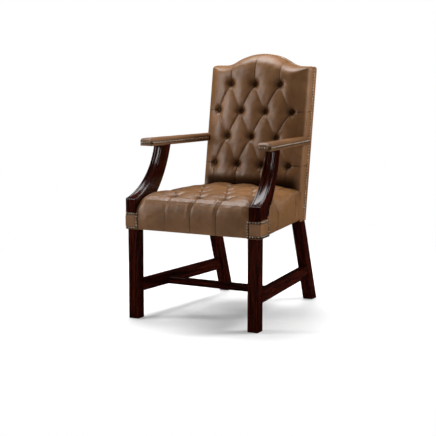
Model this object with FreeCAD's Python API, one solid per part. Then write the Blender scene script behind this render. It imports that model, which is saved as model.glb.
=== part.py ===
"""Open armchair with square legs, swept arm supports and a camel-topped buttoned back.

Millimetres. +X is to the right as seen from in front, +Y runs to the back, +Z is up.
The origin lies on the floor below the middle of the chair.
Depths below run back from the front faces of the front legs. Right-hand pieces are built and mirrored.
"""
import FreeCAD, Part
import math
import os

Vector = FreeCAD.Vector
UP = Vector(0, 0, 1)
DOWN = Vector(0, 0, -1)
BACKWARD = Vector(0, 1, 0)

FRONT_Y = -350.0

# Front legs: a square shaft with a wider head that takes the seat rails.
LEG_WIDTH = 44.0
LEG_OUTER = 285.0
LEG_CHAMFER = 2.0
HEAD_INNER = 240.0
HEAD_OUTER_FRONT = 292.0
HEAD_OUTER_REAR = 287.5
HEAD_DEPTH = 84.0
FRAME_BOTTOM = 359.0
FRAME_TOP = 428.0

# Back: every height slice is set back by the rake.
RAKE = math.radians(9.2)
BACK_DEPTH = 521.0
BACK_LEVEL = 480.0
BACK_HALF = 227.5
BACK_LOW = 355.0
SHOULDER_HEIGHT = 988.0
CREST_HEIGHT = 1038.5
CREST_RADIUS = 215.0
HOLLOW_RADIUS = 130.0
SHOULDER_RADIUS = 12.0
LEATHER = 3.5
POST_FRONT = 18.0
POST_REAR = 73.5
COVER_EDGE = 48.0
BACK_THICKNESS = 77.0
POST_TOP = 935.0

# Rear legs, sawn in one piece with the back posts.
REAR_INNER = 180.0
REAR_OUTER = 224.0
REAR_FOOT = (661.0, 708.0)
KNEE_HEIGHT = 352.0
KNEE_FRONT = 532.0
KNEE_RADII = [80.0, 110.0, 20.0]
POST_START = 436.0

# Stretchers
STRETCHER_LOW = 105.0
STRETCHER_HIGH = 152.0
STRETCHER_HALF = 15.0
STRETCHER_FRONT_X = 263.0
STRETCHER_REAR_X = 203.0
STRETCHER_REAR_DEPTH = 640.0
CROSS_FRONT = 221.0
CROSS_REAR = 246.0
CROSS_HIGH = 133.0
TENON_HALF = 6.0
TENON_SHOULDER = 8.0
TENON_LENGTH = 24.0
CROSS_TENON_END = 230.0

# Seat rails and the soft seat
RAIL_THICKNESS = 25.0
RAIL_SETBACK = 5.0
RAIL_BOTTOM = 363.0
FRONT_RAIL_DEPTH = 3.0
REAR_RAIL_DEPTH = 540.0
LOWER_RAIL = (484.0, 526.0)
LOWER_RAIL_THICKNESS = 32.0
SEAT_SIDE_FRONT = 292.0
SEAT_SIDE_TAPER = 0.126
SEAT_FRONT = -2.0
SEAT_REAR = 540.0
# Height, inset and corner radius of each plan
SEAT_LEVELS = [(359, 2, 14), (385, -1, 18), (420, -3, 22), (452, 0, 28), (480, 19, 38), (498, 54, 54),
               (508, 112, 72)]
FOAM_LEVELS = [(432, 8, 20), (450, 12, 24), (462, 26, 30), (470, 52, 40)]

# Buttons, in rows of three and four across
BUTTON_PITCH = 112.0
SEAT_ROWS = [70.0, 188.0, 306.0, 424.0]
BACK_ROWS = [916.0, 804.0, 698.0, 584.0]
BUTTON_RADIUS = 10.0
DIMPLE_RADIUS = 30.0
DIMPLE_DEPTH = 19.0
FOLD_HALF = 6.0
FOLD_DEPTH = 6.0
FOLD_RIM = 1.5
TOP_PLEAT_INSETS = [50.0, 30.0]
ROLL_INSET = 14.0
PLEAT_HEIGHTS = [462.0, 430.0, 396.0, 364.0]

# The back pad: how far it stands forward and the scale of its outline there.
PAD_LEVELS = [(-10, 1.0), (-2, 0.988), (12, 0.957), (25, 0.905), (35, 0.82), (41, 0.70), (44, 0.50)]
WALL_FRONT = 10.0
BACK_FOAM_LEVELS = [(-14, 0.97), (2, 0.96), (12, 0.88)]
PAD_BOTTOM = 478.0

# Arm supports, arms and their pads
SPLAY = math.radians(6.6)
SUPPORT_CORNER = (294.5, -1.8)
SUPPORT_WIDTH = 47.0
SUPPORT_TAPER = 1.5
SUPPORT_BASE = 97.0
BLOCK_TOP = 481.0
SWEEP_RADIUS = 258.0
SWEEP_CENTRE = (-71.0, 729.0)
SUPPORT_REAR = [(240.0, 681.0), (190.0, 560.0), (108.0, 455.0)]
HOLLOW_WIDTH = 25.0
HOLLOW_DEPTH = 3.5
HOLLOW_LEAD = 0.05
ARM_LOW = 681.0
ARM_CORNERS = [(231.0, 98.0), (287.0, 98.0), (237.0, 587.0), (202.0, 587.0)]
ARM_DROP = math.radians(0.95)
ARM_LEVELS = [(681, 0.5, 8), (690, 0, 9), (702, 0, 10), (708, 4, 10), (711, 9, 8), (712, 12, 6)]
ARM_RAIL_CORNERS = [(234.0, 101.0), (284.0, 101.0), (234.0, 540.0), (222.0, 546.0), (222.0, 600.0),
                    (206.0, 600.0), (206.0, 540.0)]
ARM_RAIL_TOP = 699.0

# Corner patches and nails
PATCH_INNER = 237.0
PATCH_DEPTH = 88.0
NAIL_RADIUS = 4.7
NAIL_HEIGHT = 3.0
NAIL_PITCH = 11.7
NAIL_INSET = 7.0
NAIL_RIM = 0.6
ARM_NAIL_HEIGHT = 693.5
ARM_NAIL_GAPS = [(14.0, 6.0), (14.0, 66.0)]

# Hidden fixings and layers
DOWEL_RADIUS = 5.0
THICK_DOWEL_RADIUS = 6.0
DOWEL_REACH = 22.0
DOWEL_HEIGHTS = [381.0, 409.0]
BLOCK_REACH = 56.0
SCREW_RADIUS = 2.2
SCREW_HEAD_RADIUS = 4.5
SCREW_HEAD = 3.5
SCREW_SHANK = 33.0
SCREW_OFFSET = 12.0
WEB_WIDTH = 50.0
WEB = 2.0
WEB_FOLD = 20.0
SEAT_STRAPS_LONG = [-135.0, -67.5, 0.0, 67.5, 135.0]
SEAT_STRAPS_ACROSS = [150.0, 235.0, 320.0, 405.0, 480.0]
BACK_STRAPS_UP = [-105.0, 0.0, 105.0]
BACK_STRAPS_ACROSS = [590.0, 750.0, 870.0]
CLOTH = 1.0


def at(x, depth, height):
    return Vector(x, FRONT_Y + depth, height)


def on_back(x, height, thickness):
    """A point at the given depth behind the raked front plane of the back."""
    return at(x, BACK_DEPTH + (height - BACK_LEVEL) * math.tan(RAKE) + thickness, height)


def block(x0, x1, depth0, depth1, low, high):
    return Part.makeBox(x1 - x0, depth1 - depth0, high - low, at(x0, depth0, low))


def prism(corners, travel):
    return Part.Face(Part.makePolygon(corners + corners[:1])).extrude(travel)


def plan_prism(corners, low, high):
    return prism([at(x, depth, low) for x, depth in corners], UP * (high - low))


def back_slab(x0, x1, low, high, front, rear):
    """A flat slab that follows the rake of the back."""
    outline = [(x0, low), (x1, low), (x1, high), (x0, high)]
    return prism([on_back(x, height, front) for x, height in outline], BACKWARD * (rear - front))


def rod(start, end, radius=DOWEL_RADIUS):
    return Part.makeCylinder(radius, (end - start).Length, start, end - start)


def arc(start, middle, end):
    return Part.Arc(start, middle, end).toShape()


def mirror(shape):
    return shape.mirror(Vector(0, 0, 0), Vector(1, 0, 0))


def both(shapes):
    return shapes + [mirror(shape) for shape in shapes]


def rounded_wire(corners, radii):
    """A closed wire through the corners, each one rounded by a tangent arc."""
    starts, middles, ends = [], [], []
    for index, corner in enumerate(corners):
        to_last = (corners[index - 1] - corner).normalize()
        to_next = (corners[(index + 1) % len(corners)] - corner).normalize()
        half_angle = to_last.getAngle(to_next) / 2
        reach = radii[index] / math.tan(half_angle)
        bisector = (to_last + to_next).normalize()
        starts.append(corner + to_last * reach)
        middles.append(corner + bisector * (radii[index] / math.sin(half_angle) - radii[index]))
        ends.append(corner + to_next * reach)
    edges = []
    for index in range(len(corners)):
        if radii[index] > 0:
            edges.append(arc(starts[index], middles[index], ends[index]))
        edges.append(Part.makeLine(ends[index], starts[(index + 1) % len(corners)]))
    return Part.Wire(edges)


def cushion(corners, levels):
    """A soft form lofted through plans drawn in at the front and sides; the rear edge stays where it is."""
    left_front, right_front, right_rear, left_rear = corners
    wires = []
    for height, inset, radius in levels:
        plan = [at(left_front[0] + inset, left_front[1] + inset, height),
                at(right_front[0] - inset, right_front[1] + inset, height),
                at(right_rear[0] - inset, right_rear[1], height),
                at(left_rear[0] + inset, left_rear[1], height)]
        wires.append(rounded_wire(plan, [radius, radius, 2, 2]))
    return Part.makeLoft(wires, True, False)


def seat_side(depth):
    return SEAT_SIDE_FRONT - SEAT_SIDE_TAPER * depth


def seat_corners(inset):
    front, rear = seat_side(SEAT_FRONT) - inset, seat_side(SEAT_REAR) - inset
    return [(-front, SEAT_FRONT + inset), (front, SEAT_FRONT + inset), (rear, SEAT_REAR), (-rear, SEAT_REAR)]


def back_wire(inset, bottom, thickness):
    """The camel-topped outline of the back, drawn in by the inset, at a depth behind its front plane."""
    def point(x, rise):
        return on_back(x, BACK_LEVEL + rise * math.cos(RAKE), thickness)

    low = (bottom - BACK_LEVEL) / math.cos(RAKE)
    shoulder = (SHOULDER_HEIGHT - BACK_LEVEL) / math.cos(RAKE) - inset
    crest = (CREST_HEIGHT - BACK_LEVEL) / math.cos(RAKE) - inset
    half = BACK_HALF - inset
    crest_radius = CREST_RADIUS - inset
    hollow_radius = HOLLOW_RADIUS + inset
    crest_centre = crest - crest_radius
    hollow_centre = shoulder + hollow_radius
    hollow_x = math.sqrt((crest_radius + hollow_radius) ** 2 - (hollow_centre - crest_centre) ** 2)
    share = crest_radius / (crest_radius + hollow_radius)
    meet = (hollow_x * share, crest_centre + (hollow_centre - crest_centre) * share)
    turn = math.atan2(hollow_centre - meet[1], hollow_x - meet[0]) / 2 + math.pi / 4
    hollow_middle = (hollow_x - hollow_radius * math.cos(turn),
                     hollow_centre - hollow_radius * math.sin(turn))
    radius = SHOULDER_RADIUS - inset
    corner = radius * (1 - math.sqrt(0.5))
    right = [Part.makeLine(point(half, low), point(half, shoulder - radius)),
             arc(point(half, shoulder - radius), point(half - corner, shoulder - corner),
                 point(half - radius, shoulder)),
             Part.makeLine(point(half - radius, shoulder), point(hollow_x, shoulder)),
             arc(point(hollow_x, shoulder), point(*hollow_middle), point(*meet))]
    top = arc(point(*meet), point(0, crest), point(-meet[0], meet[1]))
    left = [mirror(edge) for edge in reversed(right)]
    base = Part.makeLine(point(-half, low), point(half, low))
    return Part.Wire(Part.__sortEdges__(right + [top] + left + [base]))


def back_solid(inset, bottom, front, rear):
    return Part.Face(back_wire(inset, bottom, front)).extrude(BACKWARD * (rear - front))


def back_form(levels, bottom):
    """A soft form lofted forward from the back's front plane through shrinking outlines."""
    wire = back_wire(0, bottom, 0)
    centre = on_back(0, (bottom + SHOULDER_HEIGHT) / 2 + 10, 0)
    wires = []
    for forward, scale in levels:
        section = wire.scaled(scale, centre)
        section.translate(BACKWARD * -forward)
        wires.append(section)
    return Part.makeLoft(wires, True, False)


def surface_point(form, start, travel):
    """Where a straight line first meets the form."""
    inside = form.common(Part.makeLine(start, start + travel))
    return min((vertex.Point for vertex in inside.Vertexes), key=lambda point: (point - start).Length)


def button_columns(row):
    count = 3 if row % 2 == 0 else 4
    return [(column - (count - 1) / 2) * BUTTON_PITCH for column in range(count)]


def fold(path):
    """A V-shaped channel sunk in the surface along a path of points and outward directions."""
    wires = []
    for index, (point, outward) in enumerate(path):
        run = path[min(index + 1, len(path) - 1)][0] - path[max(index - 1, 0)][0]
        across = run.cross(outward).normalize() * FOLD_HALF
        rim = point + outward * FOLD_RIM
        corners = [rim - across, rim + across, point - outward * FOLD_DEPTH]
        wires.append(Part.makePolygon(corners + corners[:1]))
    return Part.makeLoft(wires, True, True)


def dimple(point, outward):
    rise = 6.0
    slope = (DIMPLE_RADIUS - BUTTON_RADIUS) / DIMPLE_DEPTH
    return Part.makeCone(BUTTON_RADIUS, DIMPLE_RADIUS + slope * rise, DIMPLE_DEPTH + rise,
                         point - outward * DIMPLE_DEPTH, outward)


def dome(point, outward, radius, rim, rise):
    """A flat-backed round head: a short straight rim under a cap of three bevels."""
    ball = (radius ** 2 + rise ** 2) / (2 * rise)
    turn = math.asin(radius / ball)
    corners = [Vector(0, 0, 0), Vector(radius, 0, 0)]
    for share in (1.0, 0.72, 0.42):
        angle = turn * share
        corners.append(Vector(ball * math.sin(angle), 0, rim + rise - ball + ball * math.cos(angle)))
    corners.append(Vector(0, 0, corners[-1].z))
    head = Part.Face(Part.makePolygon(corners + corners[:1])).revolve(Vector(0, 0, 0), UP, 360)
    head.Placement = FreeCAD.Placement(point, FreeCAD.Rotation(UP, outward))
    return head


def button(point, outward):
    """A domed button whose back lies at the foot of its dimple."""
    return dome(point - outward * DIMPLE_DEPTH, outward, BUTTON_RADIUS - 0.3, 2.0, 5.0)


def row_points(form, rows, place, travel):
    """The surface points of every button, row by row."""
    return [[surface_point(form, place(x, row), travel) for x in button_columns(index)]
            for index, row in enumerate(rows)]


def diamond_folds(rows, outward):
    """The folds that join each button to its neighbours in the next row."""
    folds = []
    for upper, lower in zip(rows, rows[1:]):
        for point in upper:
            for other in lower:
                if abs(other.x - point.x) < BUTTON_PITCH * 0.75:
                    folds.append(fold([(point, outward), (other, outward)]))
    return folds


def nail(point, outward):
    """The domed head of a nail, seated on the leather."""
    return dome(point, outward, NAIL_RADIUS, NAIL_RIM, NAIL_HEIGHT - NAIL_RIM)


def nail_row(start, end, outward):
    """Evenly spaced nails from one point to another, both ends included."""
    steps = max(1, round((end - start).Length / NAIL_PITCH))
    return [nail(start + (end - start) * (step / steps), outward) for step in range(steps + 1)]


def write(node, shape):
    shape.exportStep("parts/" + node + ".step")


def write_pair(node, right):
    write(node + "_right", right)
    write(node + "_left", mirror(right))


def write_group(node, solids):
    write(node, Part.makeCompound(solids))


def write_group_pair(node, solids):
    write_group(node + "_right", solids)
    write_group(node + "_left", [mirror(solid) for solid in solids])


def front_leg():
    shaft = block(LEG_OUTER - LEG_WIDTH, LEG_OUTER, 0, LEG_WIDTH, 0, FRAME_BOTTOM)
    upright = [edge for edge in shaft.Edges if edge.BoundBox.ZLength > FRAME_BOTTOM / 2]
    shaft = shaft.makeChamfer(LEG_CHAMFER, upright)
    head = plan_prism([(HEAD_INNER, 0), (HEAD_OUTER_FRONT, 0), (HEAD_OUTER_REAR, HEAD_DEPTH),
                       (HEAD_INNER, HEAD_DEPTH)], FRAME_BOTTOM, FRAME_TOP)
    return shaft.fuse(head)


def rear_leg():
    corners = [at(REAR_INNER, REAR_FOOT[0], 0), at(REAR_INNER, KNEE_FRONT, KNEE_HEIGHT),
               at(REAR_INNER, KNEE_FRONT, POST_START), on_back(REAR_INNER, POST_TOP, POST_FRONT),
               on_back(REAR_INNER, POST_TOP, POST_REAR), on_back(REAR_INNER, KNEE_HEIGHT, POST_REAR),
               at(REAR_INNER, REAR_FOOT[1], 0)]
    front_low, front_high, rear = KNEE_RADII
    wire = rounded_wire(corners, [0, front_low, front_high, 0, 0, rear, 0])
    return Part.Face(wire).extrude(Vector(REAR_OUTER - REAR_INNER, 0, 0))


def stretcher_bar(half, start, end, low, high):
    """A bar along the sloping centre line of a side stretcher."""
    slope = (STRETCHER_REAR_X - STRETCHER_FRONT_X) / (STRETCHER_REAR_DEPTH - LEG_WIDTH)
    near = STRETCHER_FRONT_X + slope * (start - LEG_WIDTH)
    far = STRETCHER_FRONT_X + slope * (end - LEG_WIDTH)
    plan = [(near - half, start), (near + half, start), (far + half, end), (far - half, end)]
    return plan_prism(plan, low, high)


def side_stretcher(leg):
    body = stretcher_bar(STRETCHER_HALF, LEG_WIDTH, STRETCHER_REAR_DEPTH, STRETCHER_LOW, STRETCHER_HIGH)
    body = body.cut(leg)
    tenon = stretcher_bar(TENON_HALF, LEG_WIDTH - TENON_LENGTH, STRETCHER_REAR_DEPTH,
                          STRETCHER_LOW + TENON_SHOULDER, STRETCHER_HIGH - TENON_SHOULDER)
    return body.fuse(tenon).removeSplitter()


def cross_stretcher(side_bars):
    reach = STRETCHER_FRONT_X
    body = block(-reach, reach, CROSS_FRONT, CROSS_REAR, STRETCHER_LOW, CROSS_HIGH).cut(side_bars)
    body = max(body.Solids, key=lambda solid: solid.Volume)
    tenon = block(-CROSS_TENON_END, CROSS_TENON_END, CROSS_FRONT + TENON_HALF, CROSS_REAR - TENON_HALF,
                  STRETCHER_LOW + TENON_HALF, CROSS_HIGH - TENON_HALF)
    return body.fuse(tenon).removeSplitter()


def support_point(along, inward, height):
    """A point in the splayed frame of the right arm support."""
    x = SUPPORT_CORNER[0] - along * math.sin(SPLAY) - inward * math.cos(SPLAY)
    depth = SUPPORT_CORNER[1] + along * math.cos(SPLAY) - inward * math.sin(SPLAY)
    return at(x, depth, height)


def sweep_point(radius, angle):
    return SWEEP_CENTRE[0] + radius * math.cos(angle), SWEEP_CENTRE[1] + radius * math.sin(angle)


def dropped(shape):
    """An arm piece tipped a little down towards the back."""
    pivot = at(0, ARM_CORNERS[0][1], ARM_LOW)
    return shape.rotated(pivot, Vector(1, 0, 0), -math.degrees(ARM_DROP))


def support_prism(edges, inward, width):
    travel = support_point(0, inward + width, 0) - support_point(0, inward, 0)
    return Part.Face(Part.Wire(edges)).extrude(travel)


def arm_support():
    """A square block that turns into a swept upright, hollowed along its front between two beads."""
    angles = [math.atan2(BLOCK_TOP - SWEEP_CENTRE[1], -SWEEP_CENTRE[0]),
              math.asin((ARM_LOW - SWEEP_CENTRE[1]) / SWEEP_RADIUS)]
    middle = sum(angles) / 2
    front = [sweep_point(SWEEP_RADIUS, angle) for angle in (angles[0], middle, angles[1])]
    rear = SUPPORT_REAR

    def place(point):
        return support_point(point[0], 0, point[1])

    outline = [Part.makeLine(place((0, FRAME_TOP)), place(front[0])),
               arc(place(front[0]), place(front[1]), place(front[2])),
               Part.makeLine(place(front[2]), place(rear[0])),
               arc(place(rear[0]), place(rear[1]), place(rear[2])),
               Part.makeLine(place(rear[2]), place((SUPPORT_BASE, FRAME_TOP))),
               Part.makeLine(place((SUPPORT_BASE, FRAME_TOP)), place((0, FRAME_TOP)))]
    body = support_prism(outline, 0, SUPPORT_WIDTH)
    for edge, top in ((0.0, SUPPORT_TAPER), (SUPPORT_WIDTH, SUPPORT_WIDTH - SUPPORT_TAPER)):
        corners = [support_point(-10, edge, BLOCK_TOP), support_point(-10, top, ARM_LOW),
                   support_point(-10, edge, ARM_LOW)]
        body = body.cut(prism(corners, support_point(300, 0, 0) - support_point(-10, 0, 0)))
    turns = (angles[0] + HOLLOW_LEAD, middle, angles[1] + HOLLOW_LEAD)
    inner = [place(sweep_point(SWEEP_RADIUS - 8, angle)) for angle in turns]
    outer = [place(sweep_point(SWEEP_RADIUS + HOLLOW_DEPTH, angle)) for angle in turns]
    hollow = [arc(*inner), Part.makeLine(inner[2], outer[2]), arc(*reversed(outer)),
              Part.makeLine(outer[0], inner[0])]
    offset = support_point(0, (SUPPORT_WIDTH - HOLLOW_WIDTH) / 2, 0) - support_point(0, 0, 0)
    channel = support_prism(hollow, 0, HOLLOW_WIDTH)
    channel.translate(offset)
    return body.cut(channel)


def seat_notch(margin):
    """The corner of the seat that the arm support and the leg head take up."""
    along, inward, far = SUPPORT_BASE + margin, SUPPORT_WIDTH + margin, 60.0
    plan = [support_point(-far, -far, FRAME_TOP), support_point(-far, inward, FRAME_TOP),
            support_point(along, inward, FRAME_TOP), support_point(along, -far, FRAME_TOP)]
    return prism(plan, UP * 100)


def tufted_seat(form):
    """The seat form with its dimples, diamond folds and the pleats run out to its edges."""
    def above(x, depth):
        return at(x, depth, 600)

    def on_top(x, depth):
        return surface_point(form, above(x, depth), DOWN * 250)

    def pleat(point, step, outward):
        """A fold from a button over the roll of the seat and down to its lower edge."""
        path = [(point, UP)]
        path += [(on_top(*step(inset)), UP) for inset in TOP_PLEAT_INSETS]
        path.append((on_top(*step(ROLL_INSET)), (outward + UP).normalize()))
        for height in PLEAT_HEIGHTS:
            x, depth = step(-60)
            path.append((surface_point(form, at(x, depth, height), outward * -120), outward))
        return fold(path)

    rows = row_points(form, SEAT_ROWS, above, DOWN * 250)
    tools = [dimple(point, UP) for row in rows for point in row] + diamond_folds(rows, UP)
    for point in rows[0]:
        tools.append(pleat(point, lambda inset: (point.x, SEAT_FRONT + inset), BACKWARD * -1))
    for row in (rows[1], rows[3]):
        for point, side in ((row[0], -1), (row[-1], 1)):
            depth = point.y - FRONT_Y
            edge = seat_side(depth)
            tools.append(pleat(point, lambda inset: (side * (edge - inset), depth), Vector(side, 0, 0)))
    return form.cut(tools), [button(point, UP) for row in rows for point in row]


def tufted_back(form):
    """The back form with its dimples, diamond folds and the pleats run out to its edges."""
    outward = Vector(0, -1, 0)

    def ahead(x, height):
        return on_back(x, height, -150)

    rows = row_points(form, BACK_ROWS, ahead, BACKWARD * 200)
    tools = [dimple(point, outward) for row in rows for point in row] + diamond_folds(rows, outward)
    for point in rows[0]:
        reach = SHOULDER_HEIGHT + (30 if abs(point.x) < 1 else -12)
        heights = [point.z + (reach - point.z) * share for share in (0.5, 1.0)]
        path = [(surface_point(form, ahead(point.x, height), BACKWARD * 200), outward) for height in heights]
        tools.append(fold([(point, outward)] + path))
    for row in (rows[1], rows[3]):
        for point, side in ((row[0], -1), (row[-1], 1)):
            path = [(surface_point(form, ahead(side * (BACK_HALF - gap), point.z), BACKWARD * 200), outward)
                    for gap in (34, 12)]
            tools.append(fold([(point, outward)] + path))
    for point in rows[3]:
        path = [(surface_point(form, ahead(point.x, height), BACKWARD * 200), outward)
                for height in (PAD_BOTTOM + 50, PAD_BOTTOM + 18)]
        tools.append(fold([(point, outward)] + path))
    return form.cut(tools), [button(point, outward) for row in rows for point in row]


def corner_patch():
    """A strip of leather wrapped round the front and outer side of a leg head."""
    outer = [(PATCH_INNER, -LEATHER), (HEAD_OUTER_FRONT + LEATHER, -LEATHER),
             (HEAD_OUTER_REAR + LEATHER, PATCH_DEPTH), (HEAD_OUTER_REAR, PATCH_DEPTH),
             (HEAD_OUTER_REAR, HEAD_DEPTH), (HEAD_OUTER_FRONT, 0), (PATCH_INNER, 0)]
    return plan_prism(outer, FRAME_BOTTOM, FRAME_TOP)


def corner_nails():
    front, side = Vector(0, -1, 0), Vector(1, 0.05, 0).normalize()
    inner, outer = PATCH_INNER + NAIL_INSET, HEAD_OUTER_FRONT + LEATHER - NAIL_INSET
    low, high = FRAME_BOTTOM + NAIL_INSET, FRAME_TOP - NAIL_INSET
    slope = (HEAD_OUTER_REAR - HEAD_OUTER_FRONT) / HEAD_DEPTH
    near, far = 6.0, PATCH_DEPTH - NAIL_INSET

    def on_side(depth, height):
        return at(HEAD_OUTER_FRONT + LEATHER + slope * depth, depth, height)

    nails = []
    for height in (low, high):
        nails += nail_row(at(inner, -LEATHER, height), at(outer, -LEATHER, height), front)
        nails += nail_row(on_side(near, height), on_side(far, height), side)
    nails += nail_row(at(inner, -LEATHER, low), at(inner, -LEATHER, high), front)[1:-1]
    nails += nail_row(on_side(far, low), on_side(far, high), side)[1:-1]
    return nails


def arm_nails():
    """Nails along the outer side, the front end and the inner side of an arm."""
    corners = [at(x, depth, ARM_NAIL_HEIGHT) for x, depth in ARM_CORNERS]
    inner_front, outer_front, outer_rear, inner_rear = corners
    nails = []
    runs = [(outer_front, outer_rear, 1), (inner_front, inner_rear, -1)]
    for (front, rear, side), (start_gap, end_gap) in zip(runs, ARM_NAIL_GAPS):
        step = (rear - front).normalize()
        outward = Vector(side * step.y, -side * step.x, 0)
        nails += nail_row(front + step * start_gap, rear - step * end_gap, outward)
    corner = Vector(12, 0, 0)
    nails += nail_row(inner_front + corner, outer_front - corner, BACKWARD * -1)
    return nails


def back_nails():
    """Nails up both sides and over the top of the back, near its rear edge."""
    row_depth = COVER_EDGE - 2.0
    nails = []
    for side in (1, -1):
        low = on_back(side * BACK_HALF, BACK_LOW + 8, row_depth)
        high = on_back(side * BACK_HALF, SHOULDER_HEIGHT - SHOULDER_RADIUS - 4, row_depth)
        nails += nail_row(low, high, Vector(side, 0, 0))
    edges = back_wire(0, BACK_LOW, row_depth).Edges
    top = [edge for edge in edges if edge.BoundBox.ZMin > SHOULDER_HEIGHT - 1]
    for edge in top:
        count = max(1, round(edge.Length / NAIL_PITCH))
        for step in range(count):
            parameter = edge.getParameterByLength((step + 0.5) * edge.Length / count)
            along = edge.tangentAt(parameter)
            outward = Vector(-along.z, 0, along.x).normalize()
            outward = outward if outward.z > 0 else outward * -1
            nails.append(nail(edge.valueAt(parameter), outward))
    return nails


def side_rail():
    def outer(depth):
        return seat_side(depth) - RAIL_SETBACK

    front, rear = HEAD_DEPTH, KNEE_FRONT
    plan = [(outer(front), front), (outer(rear), rear), (outer(rear) - RAIL_THICKNESS, rear),
            (outer(front) - RAIL_THICKNESS, front)]
    return plan_prism(plan, RAIL_BOTTOM, FRAME_TOP)


def side_rail_middle(depth):
    return seat_side(depth) - RAIL_SETBACK - RAIL_THICKNESS / 2


def rail_dowels():
    """The dowels of the right half of the seat frame."""
    dowels = []
    for height in DOWEL_HEIGHTS:
        for joint, rail_depth in ((HEAD_INNER, FRONT_RAIL_DEPTH), (REAR_INNER, REAR_RAIL_DEPTH)):
            middle = rail_depth + RAIL_THICKNESS / 2
            dowels.append(rod(at(joint - DOWEL_REACH, middle, height), at(joint + DOWEL_REACH, middle, height)))
        for joint in (HEAD_DEPTH, KNEE_FRONT):
            near, far = joint - DOWEL_REACH, joint + DOWEL_REACH
            dowels.append(rod(at(side_rail_middle(near), near, height), at(side_rail_middle(far), far, height)))
    return dowels


def back_dowels():
    """The right-hand dowels of the crest rail and the lower back rail."""
    middle_x = (REAR_INNER + REAR_OUTER) / 2
    middle = (POST_FRONT + POST_REAR) / 2
    crest = rod(on_back(middle_x, POST_TOP - 28, middle), on_back(middle_x, POST_TOP + 28, middle),
                THICK_DOWEL_RADIUS)
    height = sum(LOWER_RAIL) / 2
    depth = POST_FRONT + LOWER_RAIL_THICKNESS / 2
    lower = rod(on_back(REAR_INNER - DOWEL_REACH, height, depth),
                on_back(REAR_INNER + DOWEL_REACH, height, depth))
    return [crest, lower]


def arm_dowels():
    """The right-hand dowels of the arm: support to leg head, support to rail, rail to post."""
    centre = SUPPORT_WIDTH / 2
    foot = rod(support_point(30, centre, FRAME_TOP - 30), support_point(30, centre, FRAME_TOP + 30),
               THICK_DOWEL_RADIUS)
    head = rod(support_point(212, centre, ARM_LOW - 32), support_point(212, centre, ARM_LOW + 14),
               THICK_DOWEL_RADIUS)
    post = rod(on_back(214, 682, POST_FRONT - 25), on_back(214, 682, POST_FRONT + 25))
    return [foot, head, post]


def corner_blocks():
    """The right-hand glue blocks inside the seat frame."""
    def inner(depth):
        return seat_side(depth) - RAIL_SETBACK - RAIL_THICKNESS

    low, high = FRAME_BOTTOM + 10, FRAME_TOP - 8
    front_face = FRONT_RAIL_DEPTH + RAIL_THICKNESS
    front = plan_prism([(HEAD_INNER, front_face), (HEAD_INNER, HEAD_DEPTH),
                        (HEAD_INNER - BLOCK_REACH, front_face)], low, high)
    near = REAR_RAIL_DEPTH - 70
    rear = plan_prism([(REAR_INNER - 60, REAR_RAIL_DEPTH), (REAR_INNER, REAR_RAIL_DEPTH),
                       (REAR_INNER, KNEE_FRONT), (inner(KNEE_FRONT), KNEE_FRONT), (inner(near), near)], low, high)
    return [front, rear]


def block_screw(start, direction):
    """A countersunk screw set from the face of a corner block."""
    direction = Vector(direction).normalize()
    head = Part.makeCone(SCREW_HEAD_RADIUS, SCREW_RADIUS, SCREW_HEAD, start, direction)
    shank = Part.makeCylinder(SCREW_RADIUS, SCREW_SHANK, start + direction * SCREW_HEAD, direction)
    return head.fuse(shank).removeSplitter()


def block_screws():
    middle = (FRAME_BOTTOM + FRAME_TOP) / 2
    high, low = middle + SCREW_OFFSET, middle - SCREW_OFFSET
    return [block_screw(at(HEAD_INNER - 36, 48, high), Vector(0, -1, 0)),
            block_screw(at(HEAD_INNER - 20, 64, low), Vector(1, 0, 0)),
            block_screw(at(142, 521.7, high), Vector(0, 1, 0)),
            block_screw(at(187, 484.3, low), Vector(1, 0, 0))]


def seat_webbing():
    """Straps front to back on the rails, and straps across on top of them with doubled ends."""
    straps = [block(x - WEB_WIDTH / 2, x + WEB_WIDTH / 2, 8, 562, FRAME_TOP, FRAME_TOP + WEB)
              for x in SEAT_STRAPS_LONG]
    for depth in SEAT_STRAPS_ACROSS:
        near, far = depth - WEB_WIDTH / 2, depth + WEB_WIDTH / 2
        reach = seat_side(far) - RAIL_SETBACK - 4
        strap = block(-reach, reach, near, far, FRAME_TOP + WEB, FRAME_TOP + 2 * WEB)
        for side in (-1, 1):
            ends = sorted((side * reach, side * (reach - WEB_FOLD)))
            strap = strap.fuse(block(ends[0], ends[1], near, far, FRAME_TOP, FRAME_TOP + WEB))
        straps.append(strap.removeSplitter())
    return straps


def back_webbing():
    """Straps up the front of the back frame, and straps across in front of them with doubled ends."""
    straps = [back_slab(x - WEB_WIDTH / 2, x + WEB_WIDTH / 2, 492, 955, POST_FRONT - WEB, POST_FRONT)
              for x in BACK_STRAPS_UP]
    reach = REAR_OUTER - 6
    for height in BACK_STRAPS_ACROSS:
        low, high = height - WEB_WIDTH / 2, height + WEB_WIDTH / 2
        strap = back_slab(-reach, reach, low, high, POST_FRONT - 2 * WEB, POST_FRONT - WEB)
        for side in (-1, 1):
            ends = sorted((side * reach, side * (reach - WEB_FOLD)))
            strap = strap.fuse(back_slab(ends[0], ends[1], low, high, POST_FRONT - WEB, POST_FRONT))
        straps.append(strap.removeSplitter())
    return straps


os.makedirs("parts", exist_ok=True)

# Fixings first, so that every mate can be bored for them.
right_rail_dowels = rail_dowels()
right_back_dowels = back_dowels()
right_arm_dowels = arm_dowels()
right_screws = block_screws()
right_fixings = right_rail_dowels + right_back_dowels + right_arm_dowels + right_screws
fixings = both(right_fixings)

leg = rear_leg()
stretcher = side_stretcher(leg)
cross = cross_stretcher(both([stretcher]))
write_pair("front_leg", front_leg().cut(right_fixings + [stretcher]))
write_pair("rear_leg", leg.cut(right_fixings + [stretcher]))
write_pair("side_stretcher", stretcher.cut(cross))
write("cross_stretcher", cross)

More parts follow.
